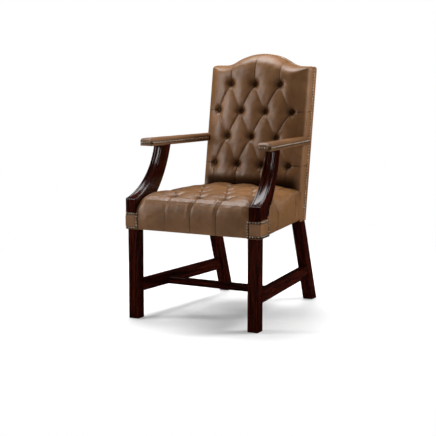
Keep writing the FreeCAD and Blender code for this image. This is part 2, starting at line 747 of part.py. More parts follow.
front_rail = block(-HEAD_INNER, HEAD_INNER, FRONT_RAIL_DEPTH, FRONT_RAIL_DEPTH + RAIL_THICKNESS,
                   RAIL_BOTTOM, FRAME_TOP)
rear_rail = block(-REAR_INNER, REAR_INNER, REAR_RAIL_DEPTH, REAR_RAIL_DEPTH + RAIL_THICKNESS,
                  RAIL_BOTTOM, FRAME_TOP)
lower_back_rail = back_slab(-REAR_INNER, REAR_INNER, *LOWER_RAIL, POST_FRONT, POST_FRONT + LOWER_RAIL_THICKNESS)
crest_rail = back_solid(LEATHER, POST_TOP, POST_FRONT, POST_REAR)
write("front_seat_rail", front_rail.cut(fixings))
write("rear_seat_rail", rear_rail.cut(fixings))
write("lower_back_rail", lower_back_rail.cut(fixings))
write("crest_rail", crest_rail.cut(fixings))
write_pair("side_seat_rail", side_rail().cut(right_fixings))
write_group("corner_blocks", both([piece.cut(right_screws) for piece in corner_blocks()]))
write_group("block_screws", both(right_screws))
write_group("rail_dowels", both(right_rail_dowels))
write_group("back_dowels", both(right_back_dowels))
write_group("arm_dowels", both(right_arm_dowels))

support = arm_support()
arm_rail = dropped(plan_prism(ARM_RAIL_CORNERS, ARM_LOW, ARM_RAIL_TOP)).cut(leg)
arm_rail = max(arm_rail.Solids, key=lambda solid: -solid.BoundBox.YMin)
write_pair("arm_support", support.cut(right_arm_dowels + [arm_rail]))
write_pair("arm_rail", arm_rail.cut(right_arm_dowels))

# The back: a wall of leather round the frame, a tufted pad on its front, and a flanged panel behind.
back_box = back_solid(0, BACK_LOW, WALL_FRONT, BACK_THICKNESS)
pad_form = back_form(PAD_LEVELS, PAD_BOTTOM)
back_foam = back_form(BACK_FOAM_LEVELS, PAD_BOTTOM)
skirt = back_slab(-BACK_HALF, BACK_HALF, BACK_LOW, PAD_BOTTOM, 0, WALL_FRONT)
wall = back_solid(0, BACK_LOW, WALL_FRONT, COVER_EDGE).fuse(skirt)
wall = wall.cut(back_solid(LEATHER, BACK_LOW - 20, -5, COVER_EDGE + 5))
pad, back_buttons = tufted_back(pad_form)
arm_rails = both([arm_rail])
write("back_cover", pad.fuse(wall).cut([back_foam] + arm_rails).removeSplitter())
write("back_foam", back_foam.cut(arm_rails))
write_group("back_buttons", back_buttons)
write_group("back_webbing", back_webbing())
plate = back_solid(0, BACK_LOW, POST_REAR, BACK_THICKNESS)
flange = back_solid(0, BACK_LOW, COVER_EDGE, POST_REAR).cut(back_solid(LEATHER, BACK_LOW - 20, 0, POST_REAR))
write("outside_back_panel", plate.fuse(flange).removeSplitter().cut(both([leg])))
write_group("back_nails", back_nails())

# The seat: a leather form over foam, webbing and rails, fitted round the back and the arm supports.
seat_form = cushion(seat_corners(0), SEAT_LEVELS)
seat_foam = cushion(seat_corners(0), FOAM_LEVELS)
patch = corner_patch()
behind = back_slab(-400, 400, 300, 640, 0, 200)
inside = plan_prism(seat_corners(RAIL_SETBACK), FRAME_BOTTOM - 20, FRAME_TOP + 2 * WEB)
clearance = block(PATCH_INNER, 340, -60, PATCH_DEPTH, FRAME_BOTTOM - 20, FRAME_TOP)
tufted, seat_buttons = tufted_seat(seat_form)
fitted = both([clearance, seat_notch(0), support])
write("seat_cover", tufted.cut([seat_foam, inside, behind, pad_form] + fitted).removeSplitter())
write("seat_foam", seat_foam.cut([behind, pad_form] + both([seat_notch(4), support])))
write_group("seat_buttons", seat_buttons)
write_group("seat_webbing", seat_webbing())
dust_corners = seat_corners(RAIL_SETBACK + 3)
dust_cover = plan_prism(dust_corners, RAIL_BOTTOM - CLOTH, RAIL_BOTTOM)
write("dust_cover", dust_cover.cut(both([front_leg(), leg])))
write_pair("corner_patch", patch)
write_group_pair("corner_nails", corner_nails())

arm_pad = dropped(cushion(ARM_CORNERS, ARM_LEVELS)).cut([arm_rail, support, back_box, pad_form])
arm_pad = max(arm_pad.Solids, key=lambda solid: solid.Volume)
write_pair("arm_pad", arm_pad)
write_group_pair("arm_nails", [dropped(head) for head in arm_nails()])
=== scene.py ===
"""The armchair dressed: buttoned leather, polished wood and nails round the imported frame.

Lengths in the shape functions are millimetres, and depths run back from the front faces of the front legs.
"""

import math

import bmesh
import bpy
import numpy as np
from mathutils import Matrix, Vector

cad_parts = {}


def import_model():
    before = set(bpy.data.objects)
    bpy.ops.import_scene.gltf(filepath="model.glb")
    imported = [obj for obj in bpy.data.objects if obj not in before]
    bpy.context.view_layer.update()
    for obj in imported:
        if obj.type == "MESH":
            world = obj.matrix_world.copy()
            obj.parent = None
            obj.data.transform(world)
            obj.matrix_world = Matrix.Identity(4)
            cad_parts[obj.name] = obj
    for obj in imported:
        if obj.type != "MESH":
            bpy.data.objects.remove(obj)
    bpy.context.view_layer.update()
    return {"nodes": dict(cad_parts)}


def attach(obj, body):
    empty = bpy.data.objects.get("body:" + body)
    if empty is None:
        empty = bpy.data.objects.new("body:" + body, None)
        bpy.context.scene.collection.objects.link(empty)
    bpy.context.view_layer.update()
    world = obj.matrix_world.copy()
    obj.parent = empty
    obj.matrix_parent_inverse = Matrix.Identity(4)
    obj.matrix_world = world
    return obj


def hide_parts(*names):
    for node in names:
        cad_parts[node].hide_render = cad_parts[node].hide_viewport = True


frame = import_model()
nodes = frame["nodes"]
rng = np.random.default_rng(7)

FRONT_Y = -350.0
RAKE = math.tan(math.radians(9.2))
BACK_DEPTH = 521.0
BACK_HALF = 227.5
BACK_REAR = 77.0
PANEL_LOW = 355.0
SHOULDER = 988.0
CREST = 1038.5
CREST_RADIUS = 215.0
HOLLOW_RADIUS = 130.0
WALL_FRONT = 11.0
COVER_EDGE = 48.0
PITCH = 112.0
BACK_ROWS = [916.0, 804.0, 698.0, 584.0]
SEAT_ROWS = [70.0, 188.0, 306.0, 424.0]
SEAT_TOP = 508.0
SEAT_LIP = 450.0
SEAT_HEM = 359.4
SEAT_FRONT = -2.0
SEAT_FLAT_HALF = 184.0
SEAT_ROLL = 44.0
PATCH_LOW, PATCH_HIGH = 359.0, 428.0
NAIL_PITCH = 11.7
NAIL_INSET = 7.0
ARM_FRONT, ARM_REAR = 98.0, 587.0
ARM_NAIL_HEIGHT = 693.5
KNEE_FRONT, KNEE_HEIGHT = 532.0, 352.0
REAR_FOOT = 661.0
STRETCHER_LOW = 105.0
WHITE = (1.0, 1.0, 1.0)


def to_world(points):
    world = np.array(points, float)
    world[:, 1] += FRONT_Y
    return world / 1000.0


def add_piece(name, points, faces, material, replaced):
    mesh = bpy.data.meshes.new(name)
    mesh.from_pydata(to_world(points).tolist(), [], [list(map(int, face)) for face in faces])
    mesh.update()
    mesh.shade_smooth()
    piece = bpy.data.objects.new(name, mesh)
    bpy.context.scene.collection.objects.link(piece)
    mesh.materials.append(material)
    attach(piece, "root")
    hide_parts(*replaced)
    return piece


def set_float(piece, name, values):
    layer = piece.data.attributes.new(name, "FLOAT", "POINT")
    layer.data.foreach_set("value", np.asarray(values, np.float32))


def set_vector(piece, name, values):
    layer = piece.data.attributes.new(name, "FLOAT_VECTOR", "POINT")
    layer.data.foreach_set("vector", np.asarray(values, np.float32).ravel())


def grid_faces(rows, columns, start=0, flip=False):
    index = np.arange(rows * columns).reshape(rows, columns) + start
    quads = np.stack([index[:-1, :-1], index[:-1, 1:], index[1:, 1:], index[1:, :-1]], -1).reshape(-1, 4)
    return quads[:, ::-1] if flip else quads


def grid_normals(points):
    """Unit normals of a (rows, columns, 3) grid of points."""
    across = np.gradient(points, axis=1)
    along = np.gradient(points, axis=0)
    normal = np.cross(across, along)
    return normal / (np.linalg.norm(normal, axis=-1, keepdims=True) + 1e-9)


def rework(piece, change):
    """Runs a change on a piece's mesh."""
    work = bmesh.new()
    work.from_mesh(piece.data)
    change(work)
    work.to_mesh(piece.data)
    work.free()
    piece.data.shade_smooth()


def merge_doubles(work):
    bmesh.ops.remove_doubles(work, verts=work.verts, dist=0.00002)


def face_outward(work):
    bmesh.ops.recalc_face_normals(work, faces=work.faces)


def drop_loose(work):
    loose = [vert for vert in work.verts if not vert.link_faces]
    bmesh.ops.delete(work, geom=loose, context="VERTS")


def ripple(p, q, size, seed):
    """A smooth seeded field between about -1 and 1, whose waves are about the given size."""
    source = np.random.default_rng(seed)
    field = np.zeros(np.broadcast(p, q).shape)
    for _ in range(9):
        angle = source.uniform(0, math.tau)
        wave = math.tau / (size * source.uniform(0.7, 1.5))
        phase = source.uniform(0, math.tau)
        field = field + np.sin(wave * (p * math.cos(angle) + q * math.sin(angle)) + phase)
    return field / 4.5


def smoothstep(low, high, value):
    share = np.clip((value - low) / (high - low), 0, 1)
    return share * share * (3 - 2 * share)


def soft_max(values, power):
    return np.sum(np.maximum(values, 0) ** power, axis=0) ** (1 / power)


def soft_min(values, power):
    return np.sum(np.maximum(values, 0.01) ** -power, axis=0) ** (-1 / power)


def segment(p, q, start, end):
    """The distance from a line between two points, the side it lies on, and the share of the way along."""
    run = np.array(end, float) - np.array(start, float)
    share = ((p - start[0]) * run[0] + (q - start[1]) * run[1]) / (run @ run)
    clamped = np.clip(share, 0, 1)
    distance = np.hypot(p - start[0] - clamped * run[0], q - start[1] - clamped * run[1])
    side = np.where((p - start[0]) * run[1] - (q - start[1]) * run[0] >= 0, 1.0, -1.0)
    return distance, side, clamped


def columns_of(row):
    count = 3 if row % 2 == 0 else 4
    return [(column - (count - 1) / 2) * PITCH for column in range(count)]


def lattice(rows):
    """The buttons, and the diamond folds between neighbouring rows."""
    buttons = [(x, row) for index, row in enumerate(rows) for x in columns_of(index)]
    folds = []
    for index in range(len(rows) - 1):
        for x in columns_of(index):
            for other in columns_of(index + 1):
                if abs(other - x) < PITCH * 0.75:
                    folds.append(((x, rows[index]), (other, rows[index + 1])))
    return buttons, folds


def tufting(p, q, buttons, folds, pleats, pit, swell, shade, dark=1.0):
    """How far the leather is drawn in, and how much shade is painted into its folds, pits and above its
    buttons, at each point of a sheet.

    Folds that run down to the left are tucked under a lip; those that run down to the right are soft valleys.
    A pleat has a start, an end, a width, and the height of the roll on its left.
    """
    # One list collects how far the leather is drawn in; the other collects the painted shade of folds, pleats
    # and pits.
    draws, painted_shade_lines = [], []
    for start, end in folds:
        distance, side, share = segment(p, q, start, end)
        ends = np.abs(2 * share - 1) ** 1.6
        draws.append(swell * (0.8 + 0.5 * ends) * np.exp(-(distance / 25.0) ** 1.35))
        tucked = end[0] < start[0]
        if tucked:
            reach = np.where(side < 0, 2.2, 6.5)
            draws.append((swell * 0.9 + 3.2 + 3.2 * ends) * np.exp(-distance / reach))
            # Painted shade along the tucked crease.
            painted_shade_lines.append(dark * (0.66 + 0.34 * ends) * np.exp(-(distance / 1.5) ** 1.4))
        else:
            draws.append((swell * 0.95 + 0.8 + 3.0 * ends) * np.exp(-(distance / 9.0) ** 1.3))
            painted_shade_lines.append(dark * (0.06 + 0.5 * ends ** 3) * np.exp(-(distance / 2.4) ** 1.4))
    rolls = np.zeros(p.shape)
    for start, end, width, roll in pleats:
        distance, side, share = segment(p, q, start, end)
        fade = (1 - share) ** 1.1
        depth = (2.4 + 4.4 * fade) * width ** 0.7 * (0.55 if roll else 1.0)
        draws.append(depth * np.exp(-distance / (np.where(side < 0, 1.8, 4.0) * width)))
        valley = np.where((side < 0) & (roll > 0), 7.0, 20.0)
        draws.append(swell * 1.25 * fade * np.exp(-(distance / valley) ** 1.4))
        crest = np.where(side < 0, 0.0, np.exp(-((distance - 15.0) / 8.0) ** 2))
        rolls += roll * crest * smoothstep(0.0, 0.25, share)
        # Painted shade along the pleat.
        painted_shade_lines.append((0.62 + 0.2 * fade) * np.exp(-(distance / (1.5 * width)) ** 1.4))
    puckers = np.zeros(p.shape)
    for x, row in buttons:
        radius = np.hypot(p - x, q - row)
        angle = np.arctan2(q - row, p - x)
        draws.append(pit * np.exp(-(radius / 16.0) ** 2.2) + 8.5 * np.exp(-(radius / 39.0) ** 1.6))
        # Painted shade in the button's pit, and above it, where the pit's upper wall would cast shade.
        painted_shade_lines.append(0.92 * dark * np.exp(-(radius / 13.0) ** 3.4))
        painted_shade_lines.append(shade * np.exp(-((p - x) / 11.0) ** 2 - ((q - row - 13.0) / 13.0) ** 2))
        phase = rng.uniform(0, math.tau)
        below = 0.5 - 0.5 * np.sin(angle)
        spokes = np.cos(11 * angle + phase) * 0.6 + np.cos(17 * angle + 2 * phase) * 0.4
        puckers += pit / 21.0 * (0.4 + 1.7 * below ** 2) * spokes * np.exp(-((radius - 21.0) / 8.5) ** 2)
    drawn = soft_max(np.array(draws), 3.0) - puckers - rolls
    return drawn, np.clip(np.max(np.array(painted_shade_lines), axis=0), 0, 1)


def held_points(p, q, buttons, folds, pleats):
    """How firmly the buttons and folds hold the leather back, from 0 to 1."""
    hold = np.zeros(p.shape)
    for start, end in folds + [pleat[:2] for pleat in pleats]:
        distance, _, _ = segment(p, q, start, end)
        hold = np.maximum(hold, 0.9 * np.exp(-(distance / 5.0) ** 2))
    for x, row in buttons:
        hold = np.maximum(hold, np.exp(-(np.hypot(p - x, q - row) / 17.0) ** 4))
    return hold


def spread(values, places, count):
    """Values at some rows of a grid, carried smoothly to every row."""
    wanted = np.arange(count)
    flat = values.reshape(len(places), -1)
    return np.stack([np.interp(wanted, places, flat[:, k]) for k in range(flat.shape[1])], -1).reshape(
        (count,) + values.shape[1:])


def swell_cloth(points, hold, step, pressure, cap):
    """Blows a sheet of leather up like stuffing would, and returns how far each of its points moves."""
    rows, columns = points.shape[:2]
    pick_rows = np.unique(np.append(np.arange(0, rows, step), rows - 1))
    pick_columns = np.unique(np.append(np.arange(0, columns, step), columns - 1))
    coarse = points[np.ix_(pick_rows, pick_columns)]
    weights = hold[np.ix_(pick_rows, pick_columns)]
    mesh = bpy.data.meshes.new("sheet")
    mesh.from_pydata(to_world(coarse.reshape(-1, 3)).tolist(), [], grid_faces(*coarse.shape[:2]).tolist())
    sheet = bpy.data.objects.new("sheet", mesh)
    bpy.context.scene.collection.objects.link(sheet)
    group = sheet.vertex_groups.new(name="held")
    for index, weight in enumerate(weights.ravel()):
        group.add([index], float(weight), "REPLACE")
    modifier = sheet.modifiers.new("stuffing", "CLOTH")
    settings = modifier.settings
    settings.vertex_group_mass = "held"
    settings.mass = 0.3
    settings.tension_stiffness = 25
    settings.compression_stiffness = 25
    settings.bending_stiffness = 1.5
    settings.air_damping = 3
    settings.use_pressure = True
    settings.uniform_pressure_force = pressure
    settings.effector_weights.gravity = 0
    modifier.collision_settings.use_collision = False
    modifier.point_cache.frame_start = 1
    modifier.point_cache.frame_end = 20
    for number in range(1, modifier.point_cache.frame_end + 1):
        bpy.context.scene.frame_set(number)
    shaped = sheet.evaluated_get(bpy.context.evaluated_depsgraph_get()).to_mesh()
    flat = np.zeros(len(shaped.vertices) * 3)
    shaped.vertices.foreach_get("co", flat)
    moved = flat.reshape(coarse.shape) * 1000.0
    moved[..., 1] -= FRONT_Y
    move = moved - coarse
    bpy.context.scene.frame_set(1)
    bpy.data.objects.remove(sheet)
    bpy.data.meshes.remove(mesh)
    length = np.linalg.norm(move, axis=-1, keepdims=True)
    move = move * (cap * np.tanh(length / cap) / np.maximum(length, 1e-6))
    move = spread(move, pick_rows, rows)
    return np.swapaxes(spread(np.swapaxes(move, 0, 1), pick_columns, columns), 0, 1)


def emptied(owner):
    """The node tree of a material or world, with nothing in it."""
    owner.use_nodes = True
    owner.node_tree.nodes.clear()
    return owner.node_tree


def new_material(name):
    material = bpy.data.materials.new(name)
    tree = emptied(material)
    output = tree.nodes.new("ShaderNodeOutputMaterial")
    shader = tree.nodes.new("ShaderNodeBsdfPrincipled")
    tree.links.new(shader.outputs[0], output.inputs[0])
    return material, tree, shader


def object_place(tree):
    return tree.nodes.new("ShaderNodeTexCoord").outputs["Object"]


def feed(tree, shader, colour, roughness):
    tree.links.new(colour, shader.inputs["Base Color"])
    tree.links.new(roughness, shader.inputs["Roughness"])


def node(tree, kind, **values):
    made = tree.nodes.new(kind)
    for key, value in values.items():
        if key in made.inputs:
            made.inputs[key].default_value = value
        else:
            setattr(made, key, value)
    return made


def noise(tree, vector, scale, detail=4.0, roughness=0.55):
    made = node(tree, "ShaderNodeTexNoise", Scale=scale, Detail=detail, Roughness=roughness)
    tree.links.new(vector, made.inputs["Vector"])
    return made.outputs["Fac"]


def ramp(tree, value, stops):
    made = tree.nodes.new("ShaderNodeValToRGB")
    elements = made.color_ramp.elements
    while len(elements) < len(stops):
        elements.new(0.5)
    for element, (place, colour) in zip(elements, stops):
        element.position = place
        element.color = (*colour, 1.0)
    tree.links.new(value, made.inputs["Fac"])
    return made.outputs["Color"]


def scaled(tree, vector, scale):
    made = node(tree, "ShaderNodeMapping", Scale=scale)
    tree.links.new(vector, made.inputs["Vector"])
    return made.outputs[0]


def grey(tree, value, low, high, start=0.3, end=0.7):
    """A value between start and end, carried to between low and high."""
    limits = {"From Min": start, "From Max": end, "To Min": low, "To Max": high}
    made = node(tree, "ShaderNodeMapRange", **limits)
    tree.links.new(value, made.inputs["Value"])
    return made.outputs["Result"]


def mix_colour(tree, kind, factor, first, second):
    made = node(tree, "ShaderNodeMix", data_type="RGBA", blend_type=kind)
    colours = [socket for socket in made.inputs if socket.type == "RGBA"]
    for socket, value in zip([made.inputs["Factor"], *colours], (factor, first, second)):
        if isinstance(value, bpy.types.NodeSocket):
            tree.links.new(value, socket)
        else:
            socket.default_value = (*value, 1.0) if isinstance(value, tuple) else value
    return next(socket for socket in made.outputs if socket.type == "RGBA")


def bump(tree, shader, height, strength, distance, before=None):
    made = node(tree, "ShaderNodeBump", Strength=strength, Distance=distance)
    tree.links.new(height, made.inputs["Height"])
    if before is not None:
        tree.links.new(before, made.inputs["Normal"])
    if shader is not None:
        tree.links.new(made.outputs[0], shader.inputs["Normal"])
    return made.outputs[0]


def attribute(tree, name):
    return node(tree, "ShaderNodeAttribute", attribute_name=name)


def leather_material():
    material, tree, shader = new_material("leather_brown")
    place = object_place(tree)
    clouds = noise(tree, place, 5.0, 3.0)
    mottle = noise(tree, place, 38.0, 5.0, 0.6)
    specks = noise(tree, place, 420.0, 2.0)
    base = ramp(tree, clouds, [(0.3, (0.162, 0.072, 0.024)), (0.52, (0.214, 0.098, 0.034)),
                               (0.72, (0.265, 0.128, 0.051))])
    patchy = ramp(tree, mottle, [(0.3, (0.78, 0.76, 0.74)), (0.6, WHITE), (0.8, (1.10, 1.08, 1.05))])
    tint = mix_colour(tree, "MULTIPLY", 0.75, base, patchy)
    fine = ramp(tree, specks, [(0.35, (0.86, 0.85, 0.84)), (0.6, WHITE)])
    tint = mix_colour(tree, "MULTIPLY", 0.5, tint, fine)
    # The attribute read here holds painted shade for folds, pits, crevices and nail rows, and a darker worn
    # tone on the arms; it blends the colour towards a near-black brown and lowers the specular there.
    painted_shade_and_wear = attribute(tree, "painted_shade_and_wear").outputs["Fac"]
    colour = mix_colour(tree, "MIX", painted_shade_and_wear, tint, (0.020, 0.009, 0.005))
    feed(tree, shader, colour, grey(tree, mottle, 0.33, 0.44))
    tree.links.new(grey(tree, painted_shade_and_wear, 0.62, 0.06), shader.inputs["Specular IOR Level"])
    grain = node(tree, "ShaderNodeTexVoronoi", Scale=620.0, feature="DISTANCE_TO_EDGE")
    tree.links.new(place, grain.inputs["Vector"])
    pebbles = grey(tree, grain.outputs["Distance"], 0.0, 1.0, 0.0, 0.35)
    creased = bump(tree, None, noise(tree, place, 150.0, 5.0, 0.65), 0.24, 0.0012)
    bump(tree, shader, pebbles, 0.22, 0.0006, creased)
    return material


def wood_material():
    material, tree, shader = new_material("wood_mahogany")
    grain = attribute(tree, "grain").outputs["Vector"]
    streaks = noise(tree, scaled(tree, grain, (3.0, 60.0, 60.0)), 3.0, 6.0, 0.6)
    bands = noise(tree, scaled(tree, grain, (1.2, 9.0, 9.0)), 2.4, 3.0)
    pits = noise(tree, scaled(tree, grain, (26.0, 900.0, 900.0)), 1.0, 2.0)
    base = ramp(tree, streaks, [(0.32, (0.0060, 0.0008, 0.0003)), (0.5, (0.0240, 0.0026, 0.0008)),
                                (0.68, (0.0640, 0.0075, 0.0020))])
    shade = ramp(tree, bands, [(0.3, (0.62, 0.58, 0.55)), (0.55, WHITE), (0.75, (1.3, 1.2, 1.15))])
    colour = mix_colour(tree, "MULTIPLY", 0.8, base, shade)
    dots = ramp(tree, pits, [(0.34, (0.45, 0.42, 0.40)), (0.46, WHITE)])
    feed(tree, shader, mix_colour(tree, "MULTIPLY", 0.7, colour, dots), grey(tree, bands, 0.20, 0.30))
    shader.inputs["Specular IOR Level"].default_value = 0.10
    shader.inputs["Coat Weight"].default_value = 0.55
    shader.inputs["Coat Roughness"].default_value = 0.06
    rough = bump(tree, shader, streaks, 0.45, 0.0014, bump(tree, None, pits, 0.10, 0.0004))
    tree.links.new(rough, shader.inputs["Coat Normal"])
    return material


def nail_material():
    material, tree, shader = new_material("nail_brass")
    place = object_place(tree)
    patina = noise(tree, place, 90.0, 4.0, 0.6)
    colour = ramp(tree, patina, [(0.32, (0.420, 0.310, 0.230)), (0.5, (0.640, 0.520, 0.420)),
                                 (0.7, (0.800, 0.700, 0.600))])
    feed(tree, shader, colour, grey(tree, patina, 0.44, 0.34))
    shader.inputs["Metallic"].default_value = 1.0
    bump(tree, shader, noise(tree, place, 700.0, 2.0), 0.15, 0.0003)
    return material


def plain_wood_material():
    material, tree, shader = new_material("frame_timber")
    streaks = noise(tree, scaled(tree, object_place(tree), (40.0, 40.0, 6.0)), 3.0, 5.0)
    colour = ramp(tree, streaks, [(0.3, (0.30, 0.19, 0.10)), (0.7, (0.52, 0.37, 0.22))])
    feed(tree, shader, colour, grey(tree, streaks, 0.55, 0.7))
    bump(tree, shader, streaks, 0.2, 0.0006)
    return material


def woven_material(name, dark, light, pitch, rough):
    material, tree, shader = new_material(name)
    place = object_place(tree)
    weave = node(tree, "ShaderNodeMath", operation="MULTIPLY")
    for socket, direction in zip(weave.inputs, ("X", "Y")):
        wave = node(tree, "ShaderNodeTexWave", Scale=pitch, Distortion=0.6, bands_direction=direction)
        tree.links.new(place, wave.inputs["Vector"])
        tree.links.new(wave.outputs["Fac"], socket)
    fuzz = noise(tree, place, 300.0, 3.0)
    blend = node(tree, "ShaderNodeMath", operation="ADD")
    tree.links.new(weave.outputs[0], blend.inputs[0])
    tree.links.new(grey(tree, fuzz, -0.2, 0.2), blend.inputs[1])
    colour = ramp(tree, blend.outputs[0], [(0.1, dark), (0.8, light)])
    feed(tree, shader, colour, grey(tree, fuzz, rough, min(1.0, rough + 0.1)))
    bump(tree, shader, weave.outputs[0], 0.4, 0.0008)
    return material


def steel_material():
    material, tree, shader = new_material("screw_steel")
    marks = noise(tree, object_place(tree), 250.0, 4.0)
    colour = ramp(tree, marks, [(0.3, (0.30, 0.30, 0.31)), (0.7, (0.52, 0.52, 0.53))])
    feed(tree, shader, colour, grey(tree, marks, 0.3, 0.45))
    shader.inputs["Metallic"].default_value = 1.0
    return material


leather = leather_material()
wood = wood_material()
brass = nail_material()


def camel_top(x):
    """The height of the back's outline above a point across it."""
    crest_centre = CREST - CREST_RADIUS
    hollow_centre = SHOULDER + HOLLOW_RADIUS
    hollow_x = math.sqrt((CREST_RADIUS + HOLLOW_RADIUS) ** 2 - (hollow_centre - crest_centre) ** 2)
    meet = hollow_x * CREST_RADIUS / (CREST_RADIUS + HOLLOW_RADIUS)
    far = np.abs(x)
    dome = crest_centre + np.sqrt(np.maximum(CREST_RADIUS ** 2 - far ** 2, 0))
    hollow = hollow_centre - np.sqrt(np.maximum(HOLLOW_RADIUS ** 2 - (far - hollow_x) ** 2, 0))
    return np.where(far < meet, dome, np.where(far < hollow_x, hollow, SHOULDER))


def rounded_shoulder(x, z, radius=12.0):
    """Points near the two top corners are drawn on to a small radius."""
    over = np.abs(x) - (BACK_HALF - radius)
    up = z - (SHOULDER - radius)
    corner = (over > 0) & (up > 0) & (np.abs(x) <= BACK_HALF + 0.01)
    size = np.maximum(over, up)
    length = np.hypot(over, up) + 1e-9
    new_x = np.where(corner, np.sign(x) * (BACK_HALF - radius + over * size / length), x)
    new_z = np.where(corner, SHOULDER - radius + up * size / length, z)
    return new_x, new_z


def back_depth(z, thickness):
    return BACK_DEPTH + (z - 480.0) * RAKE + thickness


def back_columns(step):
    edge = np.array([227.5, 226.9, 226.0, 225.0])
    inner = np.arange(-224.0, 224.01, step)
    return np.concatenate([-edge, inner, edge[::-1]])


def back_wall(path_x, path_z, thicknesses, sag):
    """Strips of leather over the edge of the back, along a path round its outline."""
    heading = np.stack([np.gradient(path_x), np.gradient(path_z)], -1)
    heading /= np.linalg.norm(heading, axis=1, keepdims=True)
    outward = np.stack([-heading[:, 1], heading[:, 0]], -1)
    rings = []
    for thickness in thicknesses:
        share = (thickness - thicknesses[0]) / (thicknesses[-1] - thicknesses[0])
        lift = sag(path_x, path_z, share)
        x = path_x + outward[:, 0] * lift
        z = path_z + outward[:, 1] * lift
        rings.append(np.stack([x, back_depth(path_z, thickness), z], -1))
    return np.array(rings)


def back_pleats():
    """Folds from the outer buttons to the edges of the back."""
    pleats = [((column, BACK_ROWS[0]), (column, CREST + 5), 1.0, 0) for column in columns_of(0)]
    for row in (BACK_ROWS[1], BACK_ROWS[3]):
        for side in (-1, 1):
            pleats.append(((side * 1.5 * PITCH, row), (side * (BACK_HALF + 5), row), 1.0, 0))
    return pleats + [((column, BACK_ROWS[3]), (column, 440), 1.0, 0) for column in columns_of(3)]


def back_grid():
    """Places across and up the inside back, with a row through each row of buttons."""
    columns = back_columns(2.0)
    bands = [np.linspace(430, BACK_ROWS[3], 33)[:-1]]
    for low, high in zip(BACK_ROWS[:0:-1], BACK_ROWS[-2::-1]):
        bands.append(np.linspace(low, high, 29)[:-1])
    lower = np.concatenate(bands)
    rise = 1 - (1 - np.linspace(0, 1, 40)) ** 1.5
    x, share = np.meshgrid(columns, rise)
    upper = BACK_ROWS[0] + share * (camel_top(x) - BACK_ROWS[0])
    z = np.concatenate([np.repeat(lower[:, None], len(columns), 1), upper])
    return np.repeat(columns[None, :], len(z), 0), z


def edge_folds(x, z):
    """Each fold that runs over the edge: how far off it is, where it counts, how deep it is, and how much
    shade is painted along it.
    """
    sides = np.abs(x) > BACK_HALF - 3
    folds = [(np.abs(z - row), sides, 1.3, 0.8) for row in (BACK_ROWS[1], BACK_ROWS[3])]
    return folds + [(np.abs(x - column), z > 900, 1.1, 0.7) for column in columns_of(0)]


def cover_sag(x, z, along):
    """How far the leather over the edge stands out, at a share of the way to the nails."""
    pleat = sum(depth * np.exp(-distance / 2.0) * counts for distance, counts, depth, _ in edge_folds(x, z))
    bulge = 1.6 * np.sin(np.pi * along)
    return bulge - pleat * (1 - 0.6 * along) + 0.5 * ripple(x + 3 * z, along * 60 + z, 40.0, 9) * along


def cover_wall(points):
    """The leather from the rim of the inside back over the edge to the nails, and the shade painted on it
    along its folds and its nail line.
    """
    low_z = np.arange(PANEL_LOW, 429.0, 6.0)
    low = np.stack([np.full(len(low_z), BACK_HALF), back_depth(low_z, WALL_FRONT), low_z], -1)
    rim = np.concatenate([mirrored(low), points[:, 0], points[-1, 1:-1], points[::-1, -1], low[::-1]])
    shares = np.array([0, 0.04, 0.1, 0.2, 0.32, 0.45, 0.6, 0.72, 0.8, 0.85, 0.9, 0.95, 1])
    thicknesses = WALL_FRONT + (COVER_EDGE - WALL_FRONT) * shares
    wall = back_wall(rim[:, 0], rim[:, 2], thicknesses, cover_sag)
    wall[0] = rim
    nail_line = COVER_EDGE - 2.0
    # Painted shadow in a band along the nail line, then painted shade along the folds over the edge.
    painted_nail_shadow = 0.95 * np.exp(-((thicknesses - nail_line) / 5.6) ** 4)
    painted_shade_lines = np.repeat(painted_nail_shadow[:, None], len(rim), 1)
    for distance, counts, _, painted_fold_shade in edge_folds(wall[..., 0], wall[..., 2]):
        painted_shade_lines = np.maximum(painted_shade_lines, painted_fold_shade * np.exp(-(distance / 1.5) ** 1.3) * counts)
    return wall, painted_shade_lines


